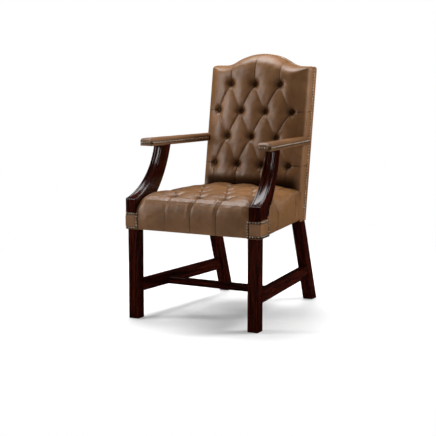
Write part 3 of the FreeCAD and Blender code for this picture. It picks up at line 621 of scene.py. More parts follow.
def back_cover():
    """The buttoned inside back: a crowned pad whose leather runs over the edges to the nails."""
    x, z = back_grid()
    from_side = BACK_HALF - np.abs(x)
    from_top = camel_top(x) - z
    inset = soft_min(np.array([from_side, from_top * 0.93]), 4.0)
    crown = soft_min(np.array([from_side, from_top * 2.8]), 4.0)
    forward = 12.5 * (1 - np.exp(-inset / 2.2)) + 52 * (1 - np.exp(-(crown / 50.0) ** 1.2)) - WALL_FRONT
    forward -= 24 * (1 - smoothstep(470.0, 548.0, z)) * smoothstep(0.0, 44.0, from_side)
    buttons, folds = lattice(BACK_ROWS)
    pleats = back_pleats()
    drawn, painted_shade_lines = tufting(x, z, buttons, folds, pleats, pit=21.0, swell=6.0, shade=0.55)
    open_face = smoothstep(1.0, 26.0, inset)
    soft = 0.9 * ripple(x, z, 70.0, 3) + 0.35 * ripple(x, z, 24.0, 4)
    depth = forward - drawn * (0.12 + 0.88 * open_face) + soft * open_face
    held = np.maximum(held_points(x, z, buttons, folds, pleats), 1 - smoothstep(4.0, 30.0, inset))
    held = np.maximum(held, 1 - smoothstep(470.0, 500.0, z))
    x, z = rounded_shoulder(x, z)
    points = np.stack([x, back_depth(z, -depth), z], -1)
    points = points + swell_cloth(points, held, 3, 4.5, 13.0) * open_face[..., None]
    # Painted shade at the bottom of the back, where it meets the seat, joined with the painted shade of its
    # folds and pits.
    painted_crevice_shade = 0.94 * (1 - smoothstep(508.0, 556.0, z)) * smoothstep(2.0, 40.0, inset)
    painted_shade_and_wear = np.maximum(painted_shade_lines * (0.35 + 0.65 * open_face), painted_crevice_shade)
    wall, wall_painted_shade = cover_wall(points)
    all_points = np.concatenate([points.reshape(-1, 3), wall.reshape(-1, 3)])
    faces = np.concatenate([grid_faces(*x.shape), grid_faces(*wall.shape[:2], x.size, True)])
    piece = add_piece("inside_back", all_points, faces, leather, ["back_cover", "back_foam"])
    set_float(piece, "painted_shade_and_wear", np.concatenate([painted_shade_and_wear.ravel(), wall_painted_shade.ravel()]))
    rework(piece, merge_doubles)
    rework(piece, face_outward)
    seats = []
    for column, row in buttons:
        pick = np.argmin((x - column) ** 2 + (z - row) ** 2)
        seats.append((points.reshape(-1, 3)[pick], np.array([0, -1.0, RAKE])))
    return seats


def outside_back():
    """The plain leather panel behind, with a narrow edge turned forward to the nails."""
    x, share = np.meshgrid(back_columns(8.0), np.linspace(0, 1, 90))
    top = camel_top(x)
    z = PANEL_LOW + share * (top - PANEL_LOW)
    inset = soft_min(np.array([BACK_HALF - np.abs(x), top - z, z - PANEL_LOW + 1.0]), 6.0)
    face, edge = BACK_REAR - 2.2, 3.0
    round_off = edge - np.sqrt(np.maximum(edge ** 2 - np.maximum(edge - inset, 0) ** 2, 0))
    puff = 2.2 * (1 - np.exp(-inset / 45.0)) + 0.5 * ripple(x, z, 150.0, 21) * smoothstep(5, 60, inset)
    x, z = rounded_shoulder(x, z)
    points = np.stack([x, back_depth(z, face - round_off + puff), z], -1)
    path_x, path_z = (np.concatenate([grid[:, 0], grid[-1, 1:-1], grid[::-1, -1]]) for grid in (x, z))
    under = [np.stack([x[0], back_depth(z[0], thickness), z[0] + lift], -1)
             for thickness, lift in ((24.0, 3.5), (34.0, 1.6), (46.0, 0.6), (58.0, 0.2), (67.0, 0.0))]
    points = np.concatenate([np.array(under), points])
    rows, count = points.shape[:2]

    def tuck(path, _, along):
        return np.full(path.shape, -1.6 * max(0, along - 0.6))

    thicknesses = np.array([face - edge, 70.0, 66.0, 61.5, 57.0, 53.0, 50.0, COVER_EDGE + 0.5])
    wall = back_wall(path_x, path_z, thicknesses, tuck)
    points = np.concatenate([points.reshape(-1, 3), wall.reshape(-1, 3)])
    faces = np.concatenate([grid_faces(rows, count, 0, True), grid_faces(*wall.shape[:2], rows * count)])
    piece = add_piece("outside_back", points, faces, leather, ["outside_back_panel"])
    set_float(piece, "painted_shade_and_wear", np.zeros(len(points)))
    rework(piece, merge_doubles)
    rework(piece, face_outward)


# The edge of the seat: inset and height of its top, inset and drop beside the back, and the fall below it.
SEAT_ROUND = np.array([(0, SEAT_LIP), (3, 458), (9, 468), (19, 480), (36, 490.5), (54, 498), (84, 504.6),
                       (112, SEAT_TOP)])
SEAT_REAR_DROP = np.array([(0, 30), (2, 25), (4.4, 21.5), (10, 19), (18, 17.5), (33, 14.5), (40, 12.5),
                           (69, 5), (93, 1.5), (112, 0)])
SEAT_FALL = np.array([(-3, 438), (-5, 422), (-5.5, 405), (-3.5, 385), (-0.5, 372), (2, 362.5), (4, 360.3),
                      (8, 359.4), (18, 359.4), (30, 360.6)])


def seat_side(depth):
    return 292.0 - 0.126 * depth


def seat_drop(inset):
    """How far the seat's surface lies below its crown, at a distance in from the edge."""
    return SEAT_TOP - np.interp(inset, *SEAT_ROUND.T)


def side_drop(inset, rear):
    """How far the top has dropped near a side: a full round at the front, and squarer beside the back."""
    return seat_drop(inset) * (1 - rear) + np.interp(inset, *SEAT_REAR_DROP.T) * rear


def seat_grid():
    """Points of the seat before it is buttoned, and their places across and along the leather laid flat.

    From the front, the rows climb the fall, go over the roll, and run back over the top. The columns do the
    same at each side.
    """
    steps = np.linspace(0, len(SEAT_FALL) - 1, 40)
    fall_in, fall_height = (np.interp(steps, range(len(SEAT_FALL)), values) for values in SEAT_FALL.T)
    fall_drop = SEAT_TOP - fall_height
    roll = 1 - np.linspace(0, 1, 44)[1:]
    top_rows = [np.linspace(42.0, SEAT_ROWS[0], 8)[:-1]]
    top_rows += [np.linspace(low, high, 29)[:-1] for low, high in zip(SEAT_ROWS, SEAT_ROWS[1:])]
    top_rows = np.concatenate(top_rows)
    rear_share = np.linspace(0, 1, 26)
    rear_rows = slice(-len(rear_share), None)
    roll_rows = SEAT_FRONT + SEAT_ROLL * roll[::-1]
    plan = np.concatenate([SEAT_FRONT + fall_in[::-1], roll_rows, top_rows,
                           SEAT_ROWS[3] + 100.0 * rear_share])
    drop_front = seat_drop(plan - SEAT_FRONT)
    drop_front[:len(steps)] = fall_drop[::-1]
    along = plan.copy()
    along[:len(steps)] = -60.0 - (SEAT_LIP - fall_height[::-1])
    rolled = slice(len(steps), len(steps) + len(roll))
    along[rolled] -= 0.8 * drop_front[rolled]

    side = seat_side(np.maximum(plan, 0))[:, None]
    rear = smoothstep(230.0, 470.0, plan)[:, None]
    flat = np.arange(-SEAT_FLAT_HALF, SEAT_FLAT_HALF + 0.01, 2.0)
    inset = (side - SEAT_FLAT_HALF) * roll
    roll_drop = side_drop(inset, rear)
    edge_x = np.concatenate([side - inset, side - fall_in], axis=1)
    edge_drop = np.concatenate([roll_drop, np.tile(fall_drop, (len(plan), 1))], axis=1)
    edge_across = np.concatenate([side - inset + 0.8 * roll_drop, side + 60.0 + SEAT_LIP - fall_height],
                                 axis=1)
    top_x = np.tile(flat, (len(plan), 1))
    x = np.concatenate([-edge_x[:, ::-1], top_x, edge_x], axis=1)
    across = np.concatenate([-edge_across[:, ::-1], top_x, edge_across], axis=1)
    top_drop = side_drop(side - np.abs(flat), rear)
    drop_side = np.concatenate([edge_drop[:, ::-1], top_drop, edge_drop], axis=1)
    depth, along, drop_front = (np.tile(values[:, None], (1, x.shape[1]))
                                for values in (plan, along, drop_front))
    height = np.maximum(SEAT_TOP - soft_max(np.array([drop_side, drop_front]), 2.6), SEAT_HEM)
    reach = back_depth(height[rear_rows], 24.0) - SEAT_ROWS[3]
    depth[rear_rows] = SEAT_ROWS[3] + rear_share[:, None] * reach
    along[rear_rows] = depth[rear_rows]

    depth = depth + np.maximum(SEAT_FRONT - depth, 0) * smoothstep(196.0, 234.0, np.abs(x))
    x = x - np.sign(x) * np.maximum(np.abs(x) - side, 0) * smoothstep(300.0, 470.0, depth)
    pinch = np.clip((np.abs(x) - 208.0) / 44.0, 0, 1.2) ** 2 * (1 - smoothstep(60.0, 125.0, depth))
    depth = depth + 16 * pinch * smoothstep(408.0, 472.0, height) * (1 - smoothstep(10.0, 60.0, depth))
    height = height - 25 * pinch * smoothstep(430.0, 500.0, height)
    scallop = 4.0 + 9.0 * np.exp(-((np.abs(x) - 0.5 * PITCH) / 20.0) ** 2)
    height = height - scallop * smoothstep(436.0, 500.0, depth) * smoothstep(440.0, 490.0, height)
    return np.stack([x, depth, height], -1), across, along


def seat_pleats():
    """Folds over the front, over each side, and back under the inside back."""
    pleats = [((column, SEAT_ROWS[0]), (column - 6, -170), width, roll)
              for column, width, roll in zip(columns_of(0), (0.4, 1.2, 1.2), (0.6, 2.6, 2.6))]
    for row, width, slant in ((SEAT_ROWS[1], 2.0, 32), (SEAT_ROWS[3], 1.2, 34)):
        for sign in (-1, 1):
            edge = (sign * 285, row + slant)
            pleats.append(((sign * 1.5 * PITCH, row), edge, width, 0))
            pleats.append((edge, (sign * 460, row + slant - 20), width * 0.8, 0))
    return pleats + [((column, SEAT_ROWS[3]), (column, 540), 1.0, 0) for column in columns_of(3)]


def seat_cover():
    """The buttoned seat: a crowned top rolled over the front and sides and drawn down to the frame."""
    points, p, q = seat_grid()
    height = points[..., 2]
    buttons, folds = lattice(SEAT_ROWS)
    pleats = seat_pleats()
    drawn, painted_shade_lines = tufting(p, q, buttons, folds, pleats, pit=13.0, swell=5.6, shade=0.0, dark=0.42)
    upper = smoothstep(430.0, 478.0, height)
    soft = 0.9 * ripple(p, q, 75.0, 13) + 0.35 * ripple(p, q, 26.0, 14)
    lift = -drawn * (0.24 + 0.76 * upper) + soft * (0.5 + 0.5 * upper) * smoothstep(359.0, 380.0, height)
    held = np.maximum(held_points(p, q, buttons, folds, pleats), 1 - smoothstep(365.0, 400.0, height))
    held[-2:] = 1.0
    free = smoothstep(360.0, 420.0, height)
    points = points + grid_normals(points) * lift[..., None]
    points = points + swell_cloth(points, held, 3, 4.5, 11.0) * free[..., None]
    behind_patch = (np.abs(points[..., 0]) > 252) & (points[..., 1] < 84)
    faces = grid_faces(*height.shape)
    faces = faces[~behind_patch.ravel()[faces].all(axis=1)]
    piece = add_piece("seat_cushion", points.reshape(-1, 3), faces, leather, ["seat_cover", "seat_foam"])
    # Painted shade on the seat's rear beside the back, and painted shade in its folds and pits.
    painted_crevice_shade = 0.5 * smoothstep(482.0, 508.0, points[..., 1]) * upper
    set_float(piece, "painted_shade_and_wear", np.clip(np.maximum(1.3 * painted_shade_lines, painted_crevice_shade), 0, 1).ravel())
    rework(piece, drop_loose)
    seats = []
    below_top = (points[..., 2] < 440) * 1e6
    for column, row in buttons:
        pick = np.argmin((points[..., 0] - column) ** 2 + (points[..., 1] - row) ** 2 + below_top)
        seats.append((points.reshape(-1, 3)[pick] - [0, 0, 2.0], np.array([0, 0, 1.0])))
    return seats


def turned(profile, count):
    """A turned form about Z: rings of points, closed at the top."""
    angles = np.arange(count) * math.tau / count
    points = [(r * math.cos(a), r * math.sin(a), h) for r, h in profile[:-1] for a in angles]
    points.append((0, 0, profile[-1][1]))
    faces = []
    for ring in range(len(profile) - 2):
        for k in range(count):
            a, b = ring * count + k, ring * count + (k + 1) % count
            faces.append((a, b, b + count, a + count))
    last = (len(profile) - 2) * count
    faces += [(last + k, last + (k + 1) % count, len(points) - 1) for k in range(count)]
    return np.array(points, float), faces


def stamped(form, places, tilt=0.0, sizes=(1.0, 1.0)):
    """Copies of a form on each (point, outward) place, a little tilted and sized by chance."""
    base, faces = form
    points, all_faces = [], []
    for number, (point, outward) in enumerate(places):
        axis = np.asarray(outward, float) / np.linalg.norm(outward)
        axis = axis + rng.normal(0, tilt, 3)
        axis /= np.linalg.norm(axis)
        side = np.cross(axis, [0.31, 0.87, 0.39])
        side /= np.linalg.norm(side)
        other = np.cross(axis, side)
        size = rng.uniform(*sizes)
        points.append(point + size * (base[:, :1] * side + base[:, 1:2] * other + base[:, 2:] * axis))
        all_faces += [tuple(i + number * len(base) for i in face) for face in faces]
    return np.concatenate(points), all_faces


def add_buttons(name, places, replaced):
    profile = [(7.0, -2.5), (10.0, -1.2), (10.9, 0.6), (10.4, 2.4), (8.6, 4.2), (6.0, 5.4), (3.0, 6.0),
               (0, 6.15)]
    points, faces = stamped(turned(profile, 28), places, 0.05, (0.96, 1.04))
    piece = add_piece(name, points, faces, leather, [replaced])
    # The buttons get painted shade all over, as the shade of the pits they sit in.
    set_float(piece, "painted_shade_and_wear", np.full(len(points), 0.72))


def islands(name):
    """The middle and the outward direction of every nail of a group."""
    work = bmesh.new()
    work.from_mesh(nodes[name].data)
    merge_doubles(work)
    work.verts.index_update()
    seen, places = set(), []
    for vert in work.verts:
        if vert.index in seen:
            continue
        stack, group = [vert], []
        seen.add(vert.index)
        while stack:
            current = stack.pop()
            group.append(current.co[:])
            for edge in current.link_edges:
                other = edge.other_vert(current)
                if other.index not in seen:
                    seen.add(other.index)
                    stack.append(other)
        cloud = np.array(group) * 1000.0
        cloud[:, 1] -= FRONT_Y
        middle = cloud.mean(axis=0)
        axis = np.linalg.svd(cloud - middle)[2][2]
        along = (cloud - middle) @ axis
        radius = np.linalg.norm(cloud - middle - along[:, None] * axis, axis=1)
        wide = along[radius > radius.max() * 0.97].mean()
        if wide > along.mean():
            axis, along = -axis, -along
        places.append((middle + along.min() * axis, axis))
    work.free()
    return places


def add_nails(group):
    profile = [(4.75, -0.6), (4.75, 0.25), (4.45, 1.1), (3.8, 1.95), (2.9, 2.6), (1.7, 3.05),
               (0.6, 3.22), (0, 3.25)]
    points, faces = stamped(turned(profile, 16), islands(group), 0.06, (0.90, 0.96))
    add_piece(group.replace("nails", "nail_heads"), points, faces, brass, [group])


def mirrored(points):
    return np.asarray(points) * np.array([-1, 1, 1])


def add_pair(name, points, faces, material, replaced, painted_shade_and_wear=None):
    """The right-hand piece and its mirror image."""
    pieces = []
    for side, place in (("right", points), ("left", mirrored(points))):
        turned_faces = faces if side == "right" else [tuple(face)[::-1] for face in faces]
        piece = add_piece(f"{name}_{side}", place, turned_faces, material, [f"{replaced}_{side}"])
        if painted_shade_and_wear is not None:
            set_float(piece, "painted_shade_and_wear", painted_shade_and_wear)
        pieces.append(piece)
    return pieces


def tube_faces(rings, count):
    """Faces round a row of closed rings, and the numbers of the points in each ring."""
    index = np.arange(rings * count).reshape(rings, count)
    faces = [tuple(face) for face in grid_faces(rings, count)]
    faces += [(index[r, -1], index[r, 0], index[r + 1, 0], index[r + 1, -1]) for r in range(rings - 1)]
    return faces, index


def arm_drop(depth):
    return -(depth - ARM_FRONT) * math.tan(math.radians(0.95))


# Half of an arm's section, from its underside to its crown: inset from the side, and height.
ARM_PROFILE = [(2.5, 681.2), (0.6, 681.0), (0.0, 683.5), (0.1, 687.0), (0.4, 690.5), (0.6, 693.5),
               (0.3, 696.5), (-0.1, 699.5), (-0.2, 702.0), (0.5, 705.0), (2.0, 707.4), (4.4, 709.2),
               (8.0, 710.4), (13.0, 711.2), (18.0, 711.6)]


def arm_ring(share):
    """The section of an arm at a share of its length, and its painted shadow along the nail line, over a
    darker worn tone of at least 0.2 on the whole arm.
    """
    depth = ARM_FRONT + share * (ARM_REAR - ARM_FRONT)
    outer = 287.0 - 50.0 * share
    inner = 231.0 - 29.0 * share
    half, middle = (outer - inner) / 2, (outer + inner) / 2
    along = depth - ARM_FRONT
    corner = 5.0
    pull = corner - math.sqrt(max(corner ** 2 - max(corner - along, 0) ** 2, 0))
    ring = [(half - pull - min(inset, half * 0.9), height) for inset, height in ARM_PROFILE]
    line = [(middle + w, depth, h) for w, h in ring] + [(middle - w, depth, h) for w, h in ring[::-1]]
    line = np.array(line)
    front = np.interp(along, [0, 1, 2.5, 4.5, 7, 10], [5.5, 3.2, 1.7, 0.7, 0.2, 0.0])
    top = smoothstep(699, 710, line[:, 2])
    line[:, 2] -= top * front
    line[:, 2] += 1.2 * top * np.cos(np.clip((line[:, 0] - middle) / half, -1, 1) * np.pi / 2)
    gather = 0.55 * np.sin(depth / NAIL_PITCH * math.tau) * np.exp(-((line[:, 2] - 699) / 6.0) ** 2)
    gather += 0.7 * ripple(depth, share, 34.0, 31) * smoothstep(695, 706, line[:, 2])
    line[:, 2] += 0.4 * gather * top
    line[:, 0] += np.sign(line[:, 0] - middle) * gather * 0.6
    # Painted shadow in a band along the nail line; never less than 0.2, a darker worn tone over the whole
    # arm.
    shade = 0.95 * np.exp(-((line[:, 2] - ARM_NAIL_HEIGHT) / 5.6) ** 4) * (along > 2.0)
    line[:, 2] += arm_drop(depth)
    return line, np.maximum(shade, 0.2)


def arm_pads():
    """A padded arm: a flat-crowned strip with rounded edges, drawn in where it is nailed."""
    shares = np.concatenate([np.zeros(1), np.linspace(0, 1, 120) ** 1.15])
    rows, shades = zip(*[arm_ring(share) for share in shares])
    start = rows[0]
    centre, level = start[:, 0].mean(), 692.0
    cap = start.copy()
    cap[:, 0] = centre + (start[:, 0] - centre) * 0.02
    cap[:, 2] = level + (start[:, 2] - level) * 0.02
    halfway = start * 0.5 + cap * 0.5
    cap[:, 1] -= 0.6
    halfway[:, 1] -= 0.5
    rows = np.array([cap, halfway, *rows])
    shades = np.array([shades[0], shades[0], *shades])
    faces, index = tube_faces(*rows.shape[:2])
    faces.append(tuple(index[-1]))
    points = rows.reshape(-1, 3)
    for piece in add_pair("padded_arm", points, faces, leather, "arm_pad", shades.ravel()):
        rework(piece, face_outward)


def corner_patches():
    """Leather wrapped round the front corners of the frame."""
    front, outer_front, outer_rear, reach, radius = -3.5, 295.5, 291.0, 88.0, 5.0
    path = [(x, front) for x in np.linspace(237.0, outer_front - radius, 26)]
    turn = front + radius
    for angle in np.linspace(-math.pi / 2, 0, 8)[1:]:
        path.append((outer_front - radius + radius * math.cos(angle), turn + radius * math.sin(angle)))
    for share in np.linspace(0, 1, 36)[1:]:
        path.append((outer_front + (outer_rear - outer_front) * share, turn + (reach - turn) * share))
    path = np.array(path)
    heading = np.gradient(path, axis=0)
    heading /= np.linalg.norm(heading, axis=1, keepdims=True)
    outward = np.stack([heading[:, 1], -heading[:, 0]], -1)
    length = np.concatenate([[0], np.cumsum(np.hypot(*np.diff(path, axis=0).T))])
    heights = np.concatenate([[PATCH_LOW, PATCH_LOW + 0.2, PATCH_LOW + 1],
                              np.linspace(PATCH_LOW + 2.5, PATCH_HIGH - 2.5, 40),
                              [PATCH_HIGH - 1, PATCH_HIGH - 0.2, PATCH_HIGH]])
    level = np.repeat(heights[:, None], len(path), 1)
    ends = np.minimum(length, length[-1] - length)
    inset = np.minimum(np.minimum(level - PATCH_LOW, PATCH_HIGH - level), ends)
    puff = 1.3 * smoothstep(6.0, 22.0, inset) - 0.5 * np.exp(-((inset - NAIL_INSET) / 3.0) ** 2)
    tuck = -3.4 * (1 - smoothstep(-0.2, 2.2, inset)) ** 2
    lift = puff + tuck + 0.25 * ripple(length, level, 22.0, 41)
    points = np.concatenate([path + outward * lift[..., None], level[..., None]], -1).reshape(-1, 3)
    # Painted shadow in a band along the nail line.
    shade = 0.85 * np.exp(-((inset - NAIL_INSET) / 4.8) ** 4)
    faces = grid_faces(*level.shape)
    add_pair("corner_leather", points, faces, leather, "corner_patch", shade.ravel())


def bevelled(piece, width, segments=3):
    modifier = piece.modifiers.new("rounding", "BEVEL")
    modifier.width = width / 1000.0
    modifier.segments = segments
    modifier.limit_method = "ANGLE"
    modifier.angle_limit = math.radians(25)
    modifier.harden_normals = True
    work = bpy.context.evaluated_depsgraph_get()
    mesh = bpy.data.meshes.new_from_object(piece.evaluated_get(work))
    old = piece.data
    piece.modifiers.clear()
    piece.data = mesh
    bpy.data.meshes.remove(old)
    piece.data.name = piece.name


def grain_along(piece, start, end):
    """Stores, for each point, its place along and across the run of the grain."""
    direction = np.asarray(end, float) - np.asarray(start, float)
    direction /= np.linalg.norm(direction)
    side = np.cross(direction, [0.2, 0.9, 0.38])
    side /= np.linalg.norm(side)
    other = np.cross(direction, side)
    flat = np.zeros(len(piece.data.vertices) * 3)
    piece.data.vertices.foreach_get("co", flat)
    points = flat.reshape(-1, 3)
    shift = rng.uniform(-2, 2, 3)
    set_vector(piece, "grain", np.stack([points @ direction, points @ side, points @ other], -1) + shift)


def prism_faces(count):
    faces = [tuple(range(count))[::-1], tuple(range(count, 2 * count))]
    faces += [(k, (k + 1) % count, count + (k + 1) % count, count + k) for k in range(count)]
    return faces


def finish_wood(piece, width, start, end):
    rework(piece, face_outward)
    bevelled(piece, width)
    grain_along(piece, start, end)


def wood_pair(name, points, replaced, start, end, width):
    """A pair of prisms whose points are those of one end and then those of the other."""
    faces = prism_faces(len(points) // 2)
    pieces = add_pair(name, np.array(points, float), faces, wood, replaced)
    for piece, flip in zip(pieces, (1, -1)):
        finish_wood(piece, width, np.array(start) * (flip, 1, 1), np.array(end) * (flip, 1, 1))


def front_legs():
    points = [(x, d, z) for z in (0, 400) for x, d in ((241, 0), (285, 0), (285, 44), (241, 44))]
    wood_pair("square_leg", points, "front_leg", (263, 22, 0), (263, 22, 400), 2.2)


def rear_legs():
    outline = [(REAR_FOOT, 0), (KNEE_FRONT, KNEE_HEIGHT), (KNEE_FRONT, 420), (back_depth(420.0, 73.5), 420),
               (back_depth(KNEE_HEIGHT, 73.5), KNEE_HEIGHT), (708, 0)]
    points = [(x, d, z) for x in (180.0, 224.0) for d, z in outline]
    wood_pair("raked_leg", points, "rear_leg", (202, 684, 0), (202, 552, 352), 2.2)


def stretchers():
    """The low rails between the legs, in the form of an H."""
    def middle(depth):
        return 263.0 - 60.0 * (depth - 44.0) / 596.0

    points = []
    for z in (STRETCHER_LOW, 152.0):
        end = REAR_FOOT + (KNEE_FRONT - REAR_FOOT) * z / KNEE_HEIGHT + 6
        for depth, sign in ((42, -1), (42, 1), (end, 1), (end, -1)):
            points.append((middle(depth) + sign * 15.0, depth, z))
    wood_pair("side_rail_low", points, "side_stretcher", (263, 44, 128), (203, 620, 128), 1.8)
    reach = middle(233) - 12
    plan = ((-reach, 221), (reach, 221), (reach, 246), (-reach, 246))
    points = [(x, d, z) for z in (STRETCHER_LOW, 133.0) for x, d in plan]
    piece = add_piece("cross_rail_low", points, prism_faces(4), wood, ["cross_stretcher"])
    finish_wood(piece, 1.8, (-200, 230, 115), (200, 230, 115))


def circle_through(a, b, c):
    """The middle and the radius of the circle through three points."""
    d = 2 * (a[0] * (b[1] - c[1]) + b[0] * (c[1] - a[1]) + c[0] * (a[1] - b[1]))
    x = ((a @ a) * (b[1] - c[1]) + (b @ b) * (c[1] - a[1]) + (c @ c) * (a[1] - b[1])) / d
    y = ((a @ a) * (c[0] - b[0]) + (b @ b) * (a[0] - c[0]) + (c @ c) * (b[0] - a[0])) / d
    middle = np.array([x, y])
    return middle, np.linalg.norm(a - middle)


def on_circle(middle, radius, angle):
    return middle + radius * np.array([math.cos(angle), math.sin(angle)])


def support_path():
    """Up an arm support: points on its front and rear edges, and how fully its moulding is carved there."""
    front_middle, front_radius = np.array([-71.0, 729.0]), 258.0
    start = math.atan2(481.0 - front_middle[1], -front_middle[0])
    finish = math.asin((681.0 - front_middle[1]) / front_radius)
    low, high = np.array([108.0, 455.0]), np.array([240.0, 681.0])
    rear_middle, rear_radius = circle_through(low, np.array([190.0, 560.0]), high)
    first, last = (math.atan2(*(end - rear_middle)[::-1]) for end in (low, high))
    path = [(np.array([0.0, z]), np.array([97.0 + max(z - 428.0, 0) * 0.4, z]), 0.0)
            for z in (426.0, 428.0, 440.0, 455.0, 468.0, 477.0)]
    for share in np.linspace(0, 1, 70):
        fore = on_circle(front_middle, front_radius, start + (finish - start) * share)
        turn = first + (last - first) * min(1.0, 0.10 + 0.90 * share)
        path.append((fore, on_circle(rear_middle, rear_radius, turn), float(smoothstep(0.0, 0.07, share))))
    return path


# Half of the moulding on a support's front, from its edge to its middle: across, and in from the face.
MOULDING = [(0.0, 9.0), (0.0, 6.0), (0.05, 3.4), (0.9, 1.3), (2.6, 0.15), (4.6, 0.0), (6.6, 0.5), (8.0, 1.9),
            (8.7, 3.6), (9.6, 3.9), (10.6, 3.0), (13.0, 4.3), (16.5, 5.4), (20.0, 6.0), (23.5, 6.2)]


def support_ring(fore, aft, carve):
    """One section of an arm support, with a bead at each front edge and a hollow between."""
    splay, round_edge = math.radians(6.6), 1.6
    squeeze = np.interp(fore[1], [481.0, 681.0], [0.0, 1.5])
    width = 47.0 - 2 * squeeze
    thickness = np.linalg.norm(aft - fore)
    run = (aft - fore) / thickness
    half = [(2.5, thickness), (0.7, thickness - 0.7), (0.0, thickness - 2.5), (0.0, thickness * 0.5)]
    for across, inward in MOULDING:
        plain = max(0.0, round_edge - across)
        flat = round_edge - math.sqrt(max(round_edge ** 2 - plain ** 2, 0)) if across > 0 else inward
        deep = inward * carve + flat * (1 - carve)
        half.append((across / 23.5 * width / 2 if across > 8 else min(across, width / 2), deep))
    ring = []
    for w, t in half + [(width - w, t) for w, t in half[-2::-1]]:
        depth, height = fore + run * t
        inward = squeeze + w
        ring.append((294.5 - depth * math.sin(splay) - inward * math.cos(splay),
                     -1.8 + depth * math.cos(splay) - inward * math.sin(splay), height))
    return ring


def arm_supports():
    """The swept uprights between the frame and the arms."""
    rows = np.array([support_ring(*station) for station in support_path()])
    count = rows.shape[1]
    faces, index = tube_faces(*rows.shape[:2])
    faces += [tuple(index[0]), tuple(index[-1])[::-1]]
    points = rows.reshape(-1, 3)
    middles = rows.mean(axis=1)
    lengths = np.concatenate([[0], np.cumsum(np.linalg.norm(np.diff(middles, axis=0), axis=1))])
    along = np.repeat(lengths, count) / 1000.0
    offset = (points - np.repeat(middles, count, axis=0)) / 1000.0
    grain = np.stack([along, offset[:, 0], offset[:, 1] * 0.7 + offset[:, 2] * 0.7], -1)
    for piece in add_pair("swept_support", points, faces, wood, "arm_support"):
        rework(piece, face_outward)
        set_vector(piece, "grain", grain + rng.uniform(-2, 2, 3))


def dust_cover():
    """Black cloth stretched under the seat, sagging a little between its edges."""
    shares = np.linspace(0, 1, 50)
    rows = []
    for v in shares:
        depth = 8.0 + v * (528.0 - 8.0)
        half = seat_side(depth) - 9.0
        for u in shares:
            x = (2 * u - 1) * half
            edge = min(u, 1 - u, v, 1 - v) * 2
            rows.append((x, depth, 363.4 - 3.2 * (1 - (1 - edge) ** 2)))
    points = np.array(rows)
    cloth = woven_material("dust_cloth", (0.006, 0.006, 0.007), (0.022, 0.022, 0.024), 900.0, 0.85)
    keep = ~((np.abs(points[:, 0]) > 236) & (points[:, 1] < 50))
    faces = grid_faces(50, 50, 0, True)
    faces = faces[keep[faces].any(axis=1)]
    piece = add_piece("bottom_cloth", points, faces, cloth, ["dust_cover"])
    rework(piece, drop_loose)


back_seats = back_cover()
outside_back()
seat_seats = seat_cover()
add_buttons("back_button_heads", back_seats, "back_buttons")
add_buttons("seat_button_heads", seat_seats, "seat_buttons")
for group in ("back_nails", "arm_nails_left", "arm_nails_right", "corner_nails_left", "corner_nails_right"):
    add_nails(group)
arm_pads()
corner_patches()
front_legs()
rear_legs()
stretchers()
arm_supports()
dust_cover()


def dress(names, material):
    """Gives the CAD solids that stay in the scene their material."""
    for name in names:
        nodes[name].data.materials.clear()
        nodes[name].data.materials.append(material)


dress(("arm_rail_left", "arm_rail_right", "front_seat_rail", "rear_seat_rail", "side_seat_rail_left",
       "side_seat_rail_right", "crest_rail", "lower_back_rail", "corner_blocks", "rail_dowels", "back_dowels",
       "arm_dowels"), plain_wood_material())
dress(("seat_webbing", "back_webbing"),
      woven_material("jute_webbing", (0.20, 0.15, 0.09), (0.42, 0.34, 0.23), 320.0, 0.9))
dress(("block_screws",), steel_material())


def mix_shader(tree, factor, first, second):
    made = tree.nodes.new("ShaderNodeMixShader")
    for socket, value in zip(made.inputs, (factor, first, second)):
        tree.links.new(value, socket)
    return made.outputs[0]


def floor():
    """White ground that keeps a shadow near the chair and is dark where polished things mirror it."""
    mesh = bpy.data.meshes.new("floor")
    mesh.from_pydata([(-30, -30, 0), (30, -30, 0), (30, 30, 0), (-30, 30, 0)], [], [(0, 1, 2, 3)])
    piece = bpy.data.objects.new("floor", mesh)
    bpy.context.scene.collection.objects.link(piece)
    material = bpy.data.materials.new("floor_white")
    tree = emptied(material)
    output = tree.nodes.new("ShaderNodeOutputMaterial")
    diffuse = node(tree, "ShaderNodeBsdfDiffuse", Color=(0.86, 0.86, 0.86, 1.0))
    dark = node(tree, "ShaderNodeBsdfDiffuse", Color=(0.006, 0.006, 0.006, 1.0))
    lift = node(tree, "ShaderNodeEmission", Color=(1, 1, 1, 1), Strength=0.16)
    white = node(tree, "ShaderNodeEmission", Color=(1, 1, 1, 1), Strength=1.0)
    path = tree.nodes.new("ShaderNodeLightPath")
    reach = node(tree, "ShaderNodeVectorMath", operation="LENGTH")
    tree.links.new(object_place(tree), reach.inputs[0])
    far = grey(tree, reach.outputs["Value"], 0.0, 1.0, 0.85, 1.8)
    both = tree.nodes.new("ShaderNodeAddShader")
    tree.links.new(diffuse.outputs[0], both.inputs[0])
    tree.links.new(lift.outputs[0], both.inputs[1])
    seen = mix_shader(tree, far, both.outputs[0], white.outputs[0])
    other = mix_shader(tree, path.outputs["Is Glossy Ray"], diffuse.outputs[0], dark.outputs[0])
    tree.links.new(mix_shader(tree, path.outputs["Is Camera Ray"], other, seen), output.inputs[0])
    mesh.materials.append(material)


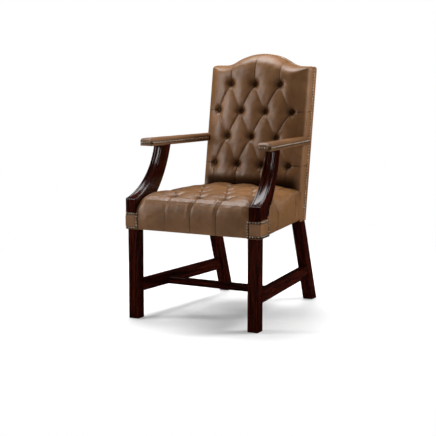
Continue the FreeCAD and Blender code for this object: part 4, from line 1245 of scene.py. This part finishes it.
def world():
    """White where the camera sees it, and dim as a light and in mirrored views."""
    made = bpy.data.worlds.new("studio")
    bpy.context.scene.world = made
    tree = emptied(made)
    output = tree.nodes.new("ShaderNodeOutputWorld")
    seen = node(tree, "ShaderNodeBackground", Color=(1, 1, 1, 1), Strength=1.0)
    glow = node(tree, "ShaderNodeBackground", Color=(1, 1, 1, 1), Strength=0.16)
    dim = node(tree, "ShaderNodeBackground", Color=(1, 1, 1, 1), Strength=0.006)
    path = tree.nodes.new("ShaderNodeLightPath")
    glossy = mix_shader(tree, path.outputs["Is Glossy Ray"], glow.outputs[0], dim.outputs[0])
    tree.links.new(mix_shader(tree, path.outputs["Is Camera Ray"], glossy, seen.outputs[0]), output.inputs[0])


def area_light(name, place, target, size, power, tall=None, shiny=True):
    light = bpy.data.lights.new(name, "AREA")
    light.energy = power
    light.size = size
    if tall:
        light.shape = "RECTANGLE"
        light.size_y = tall
    lamp = bpy.data.objects.new(name, light)
    lamp.visible_glossy = shiny
    lamp.location = place
    lamp.rotation_euler = (Vector(target) - Vector(place)).to_track_quat("-Z", "Y").to_euler()
    bpy.context.scene.collection.objects.link(lamp)


def camera():
    data = bpy.data.cameras.new("camera")
    data.sensor_width = 36.0
    data.lens = 99.8
    lens = bpy.data.objects.new("camera", data)
    azimuth, elevation, distance = math.radians(27.75), math.radians(8.29), 4.9236
    target = Vector((-0.0418, -0.050, 0.3804))
    offset = Vector((math.sin(azimuth) * math.cos(elevation), -math.cos(azimuth) * math.cos(elevation),
                     math.sin(elevation)))
    lens.location = target + offset * distance
    lens.rotation_euler = (-offset).to_track_quat("-Z", "Y").to_euler()
    bpy.context.scene.collection.objects.link(lens)
    bpy.context.scene.camera = lens


floor()
world()
area_light("overhead", (-0.8, 0.45, 2.9), (-0.45, -0.05, 0.4), 2.0, 54, 1.2)
area_light("overhead_fill", (-0.6, 0.5, 2.8), (0, -0.05, 0.4), 2.2, 50, shiny=False)
area_light("right", (2.5, 1.5, 1.9), (0, 0.1, 0.6), 1.4, 40)
area_light("right_fill", (2.5, 1.5, 1.9), (0, 0.1, 0.6), 1.4, 46, shiny=False)
area_light("left", (-2.6, -1.7, 1.5), (0, 0, 0.6), 0.6, 42, 2.0)
camera()
bpy.context.scene.view_settings.view_transform = "Standard"
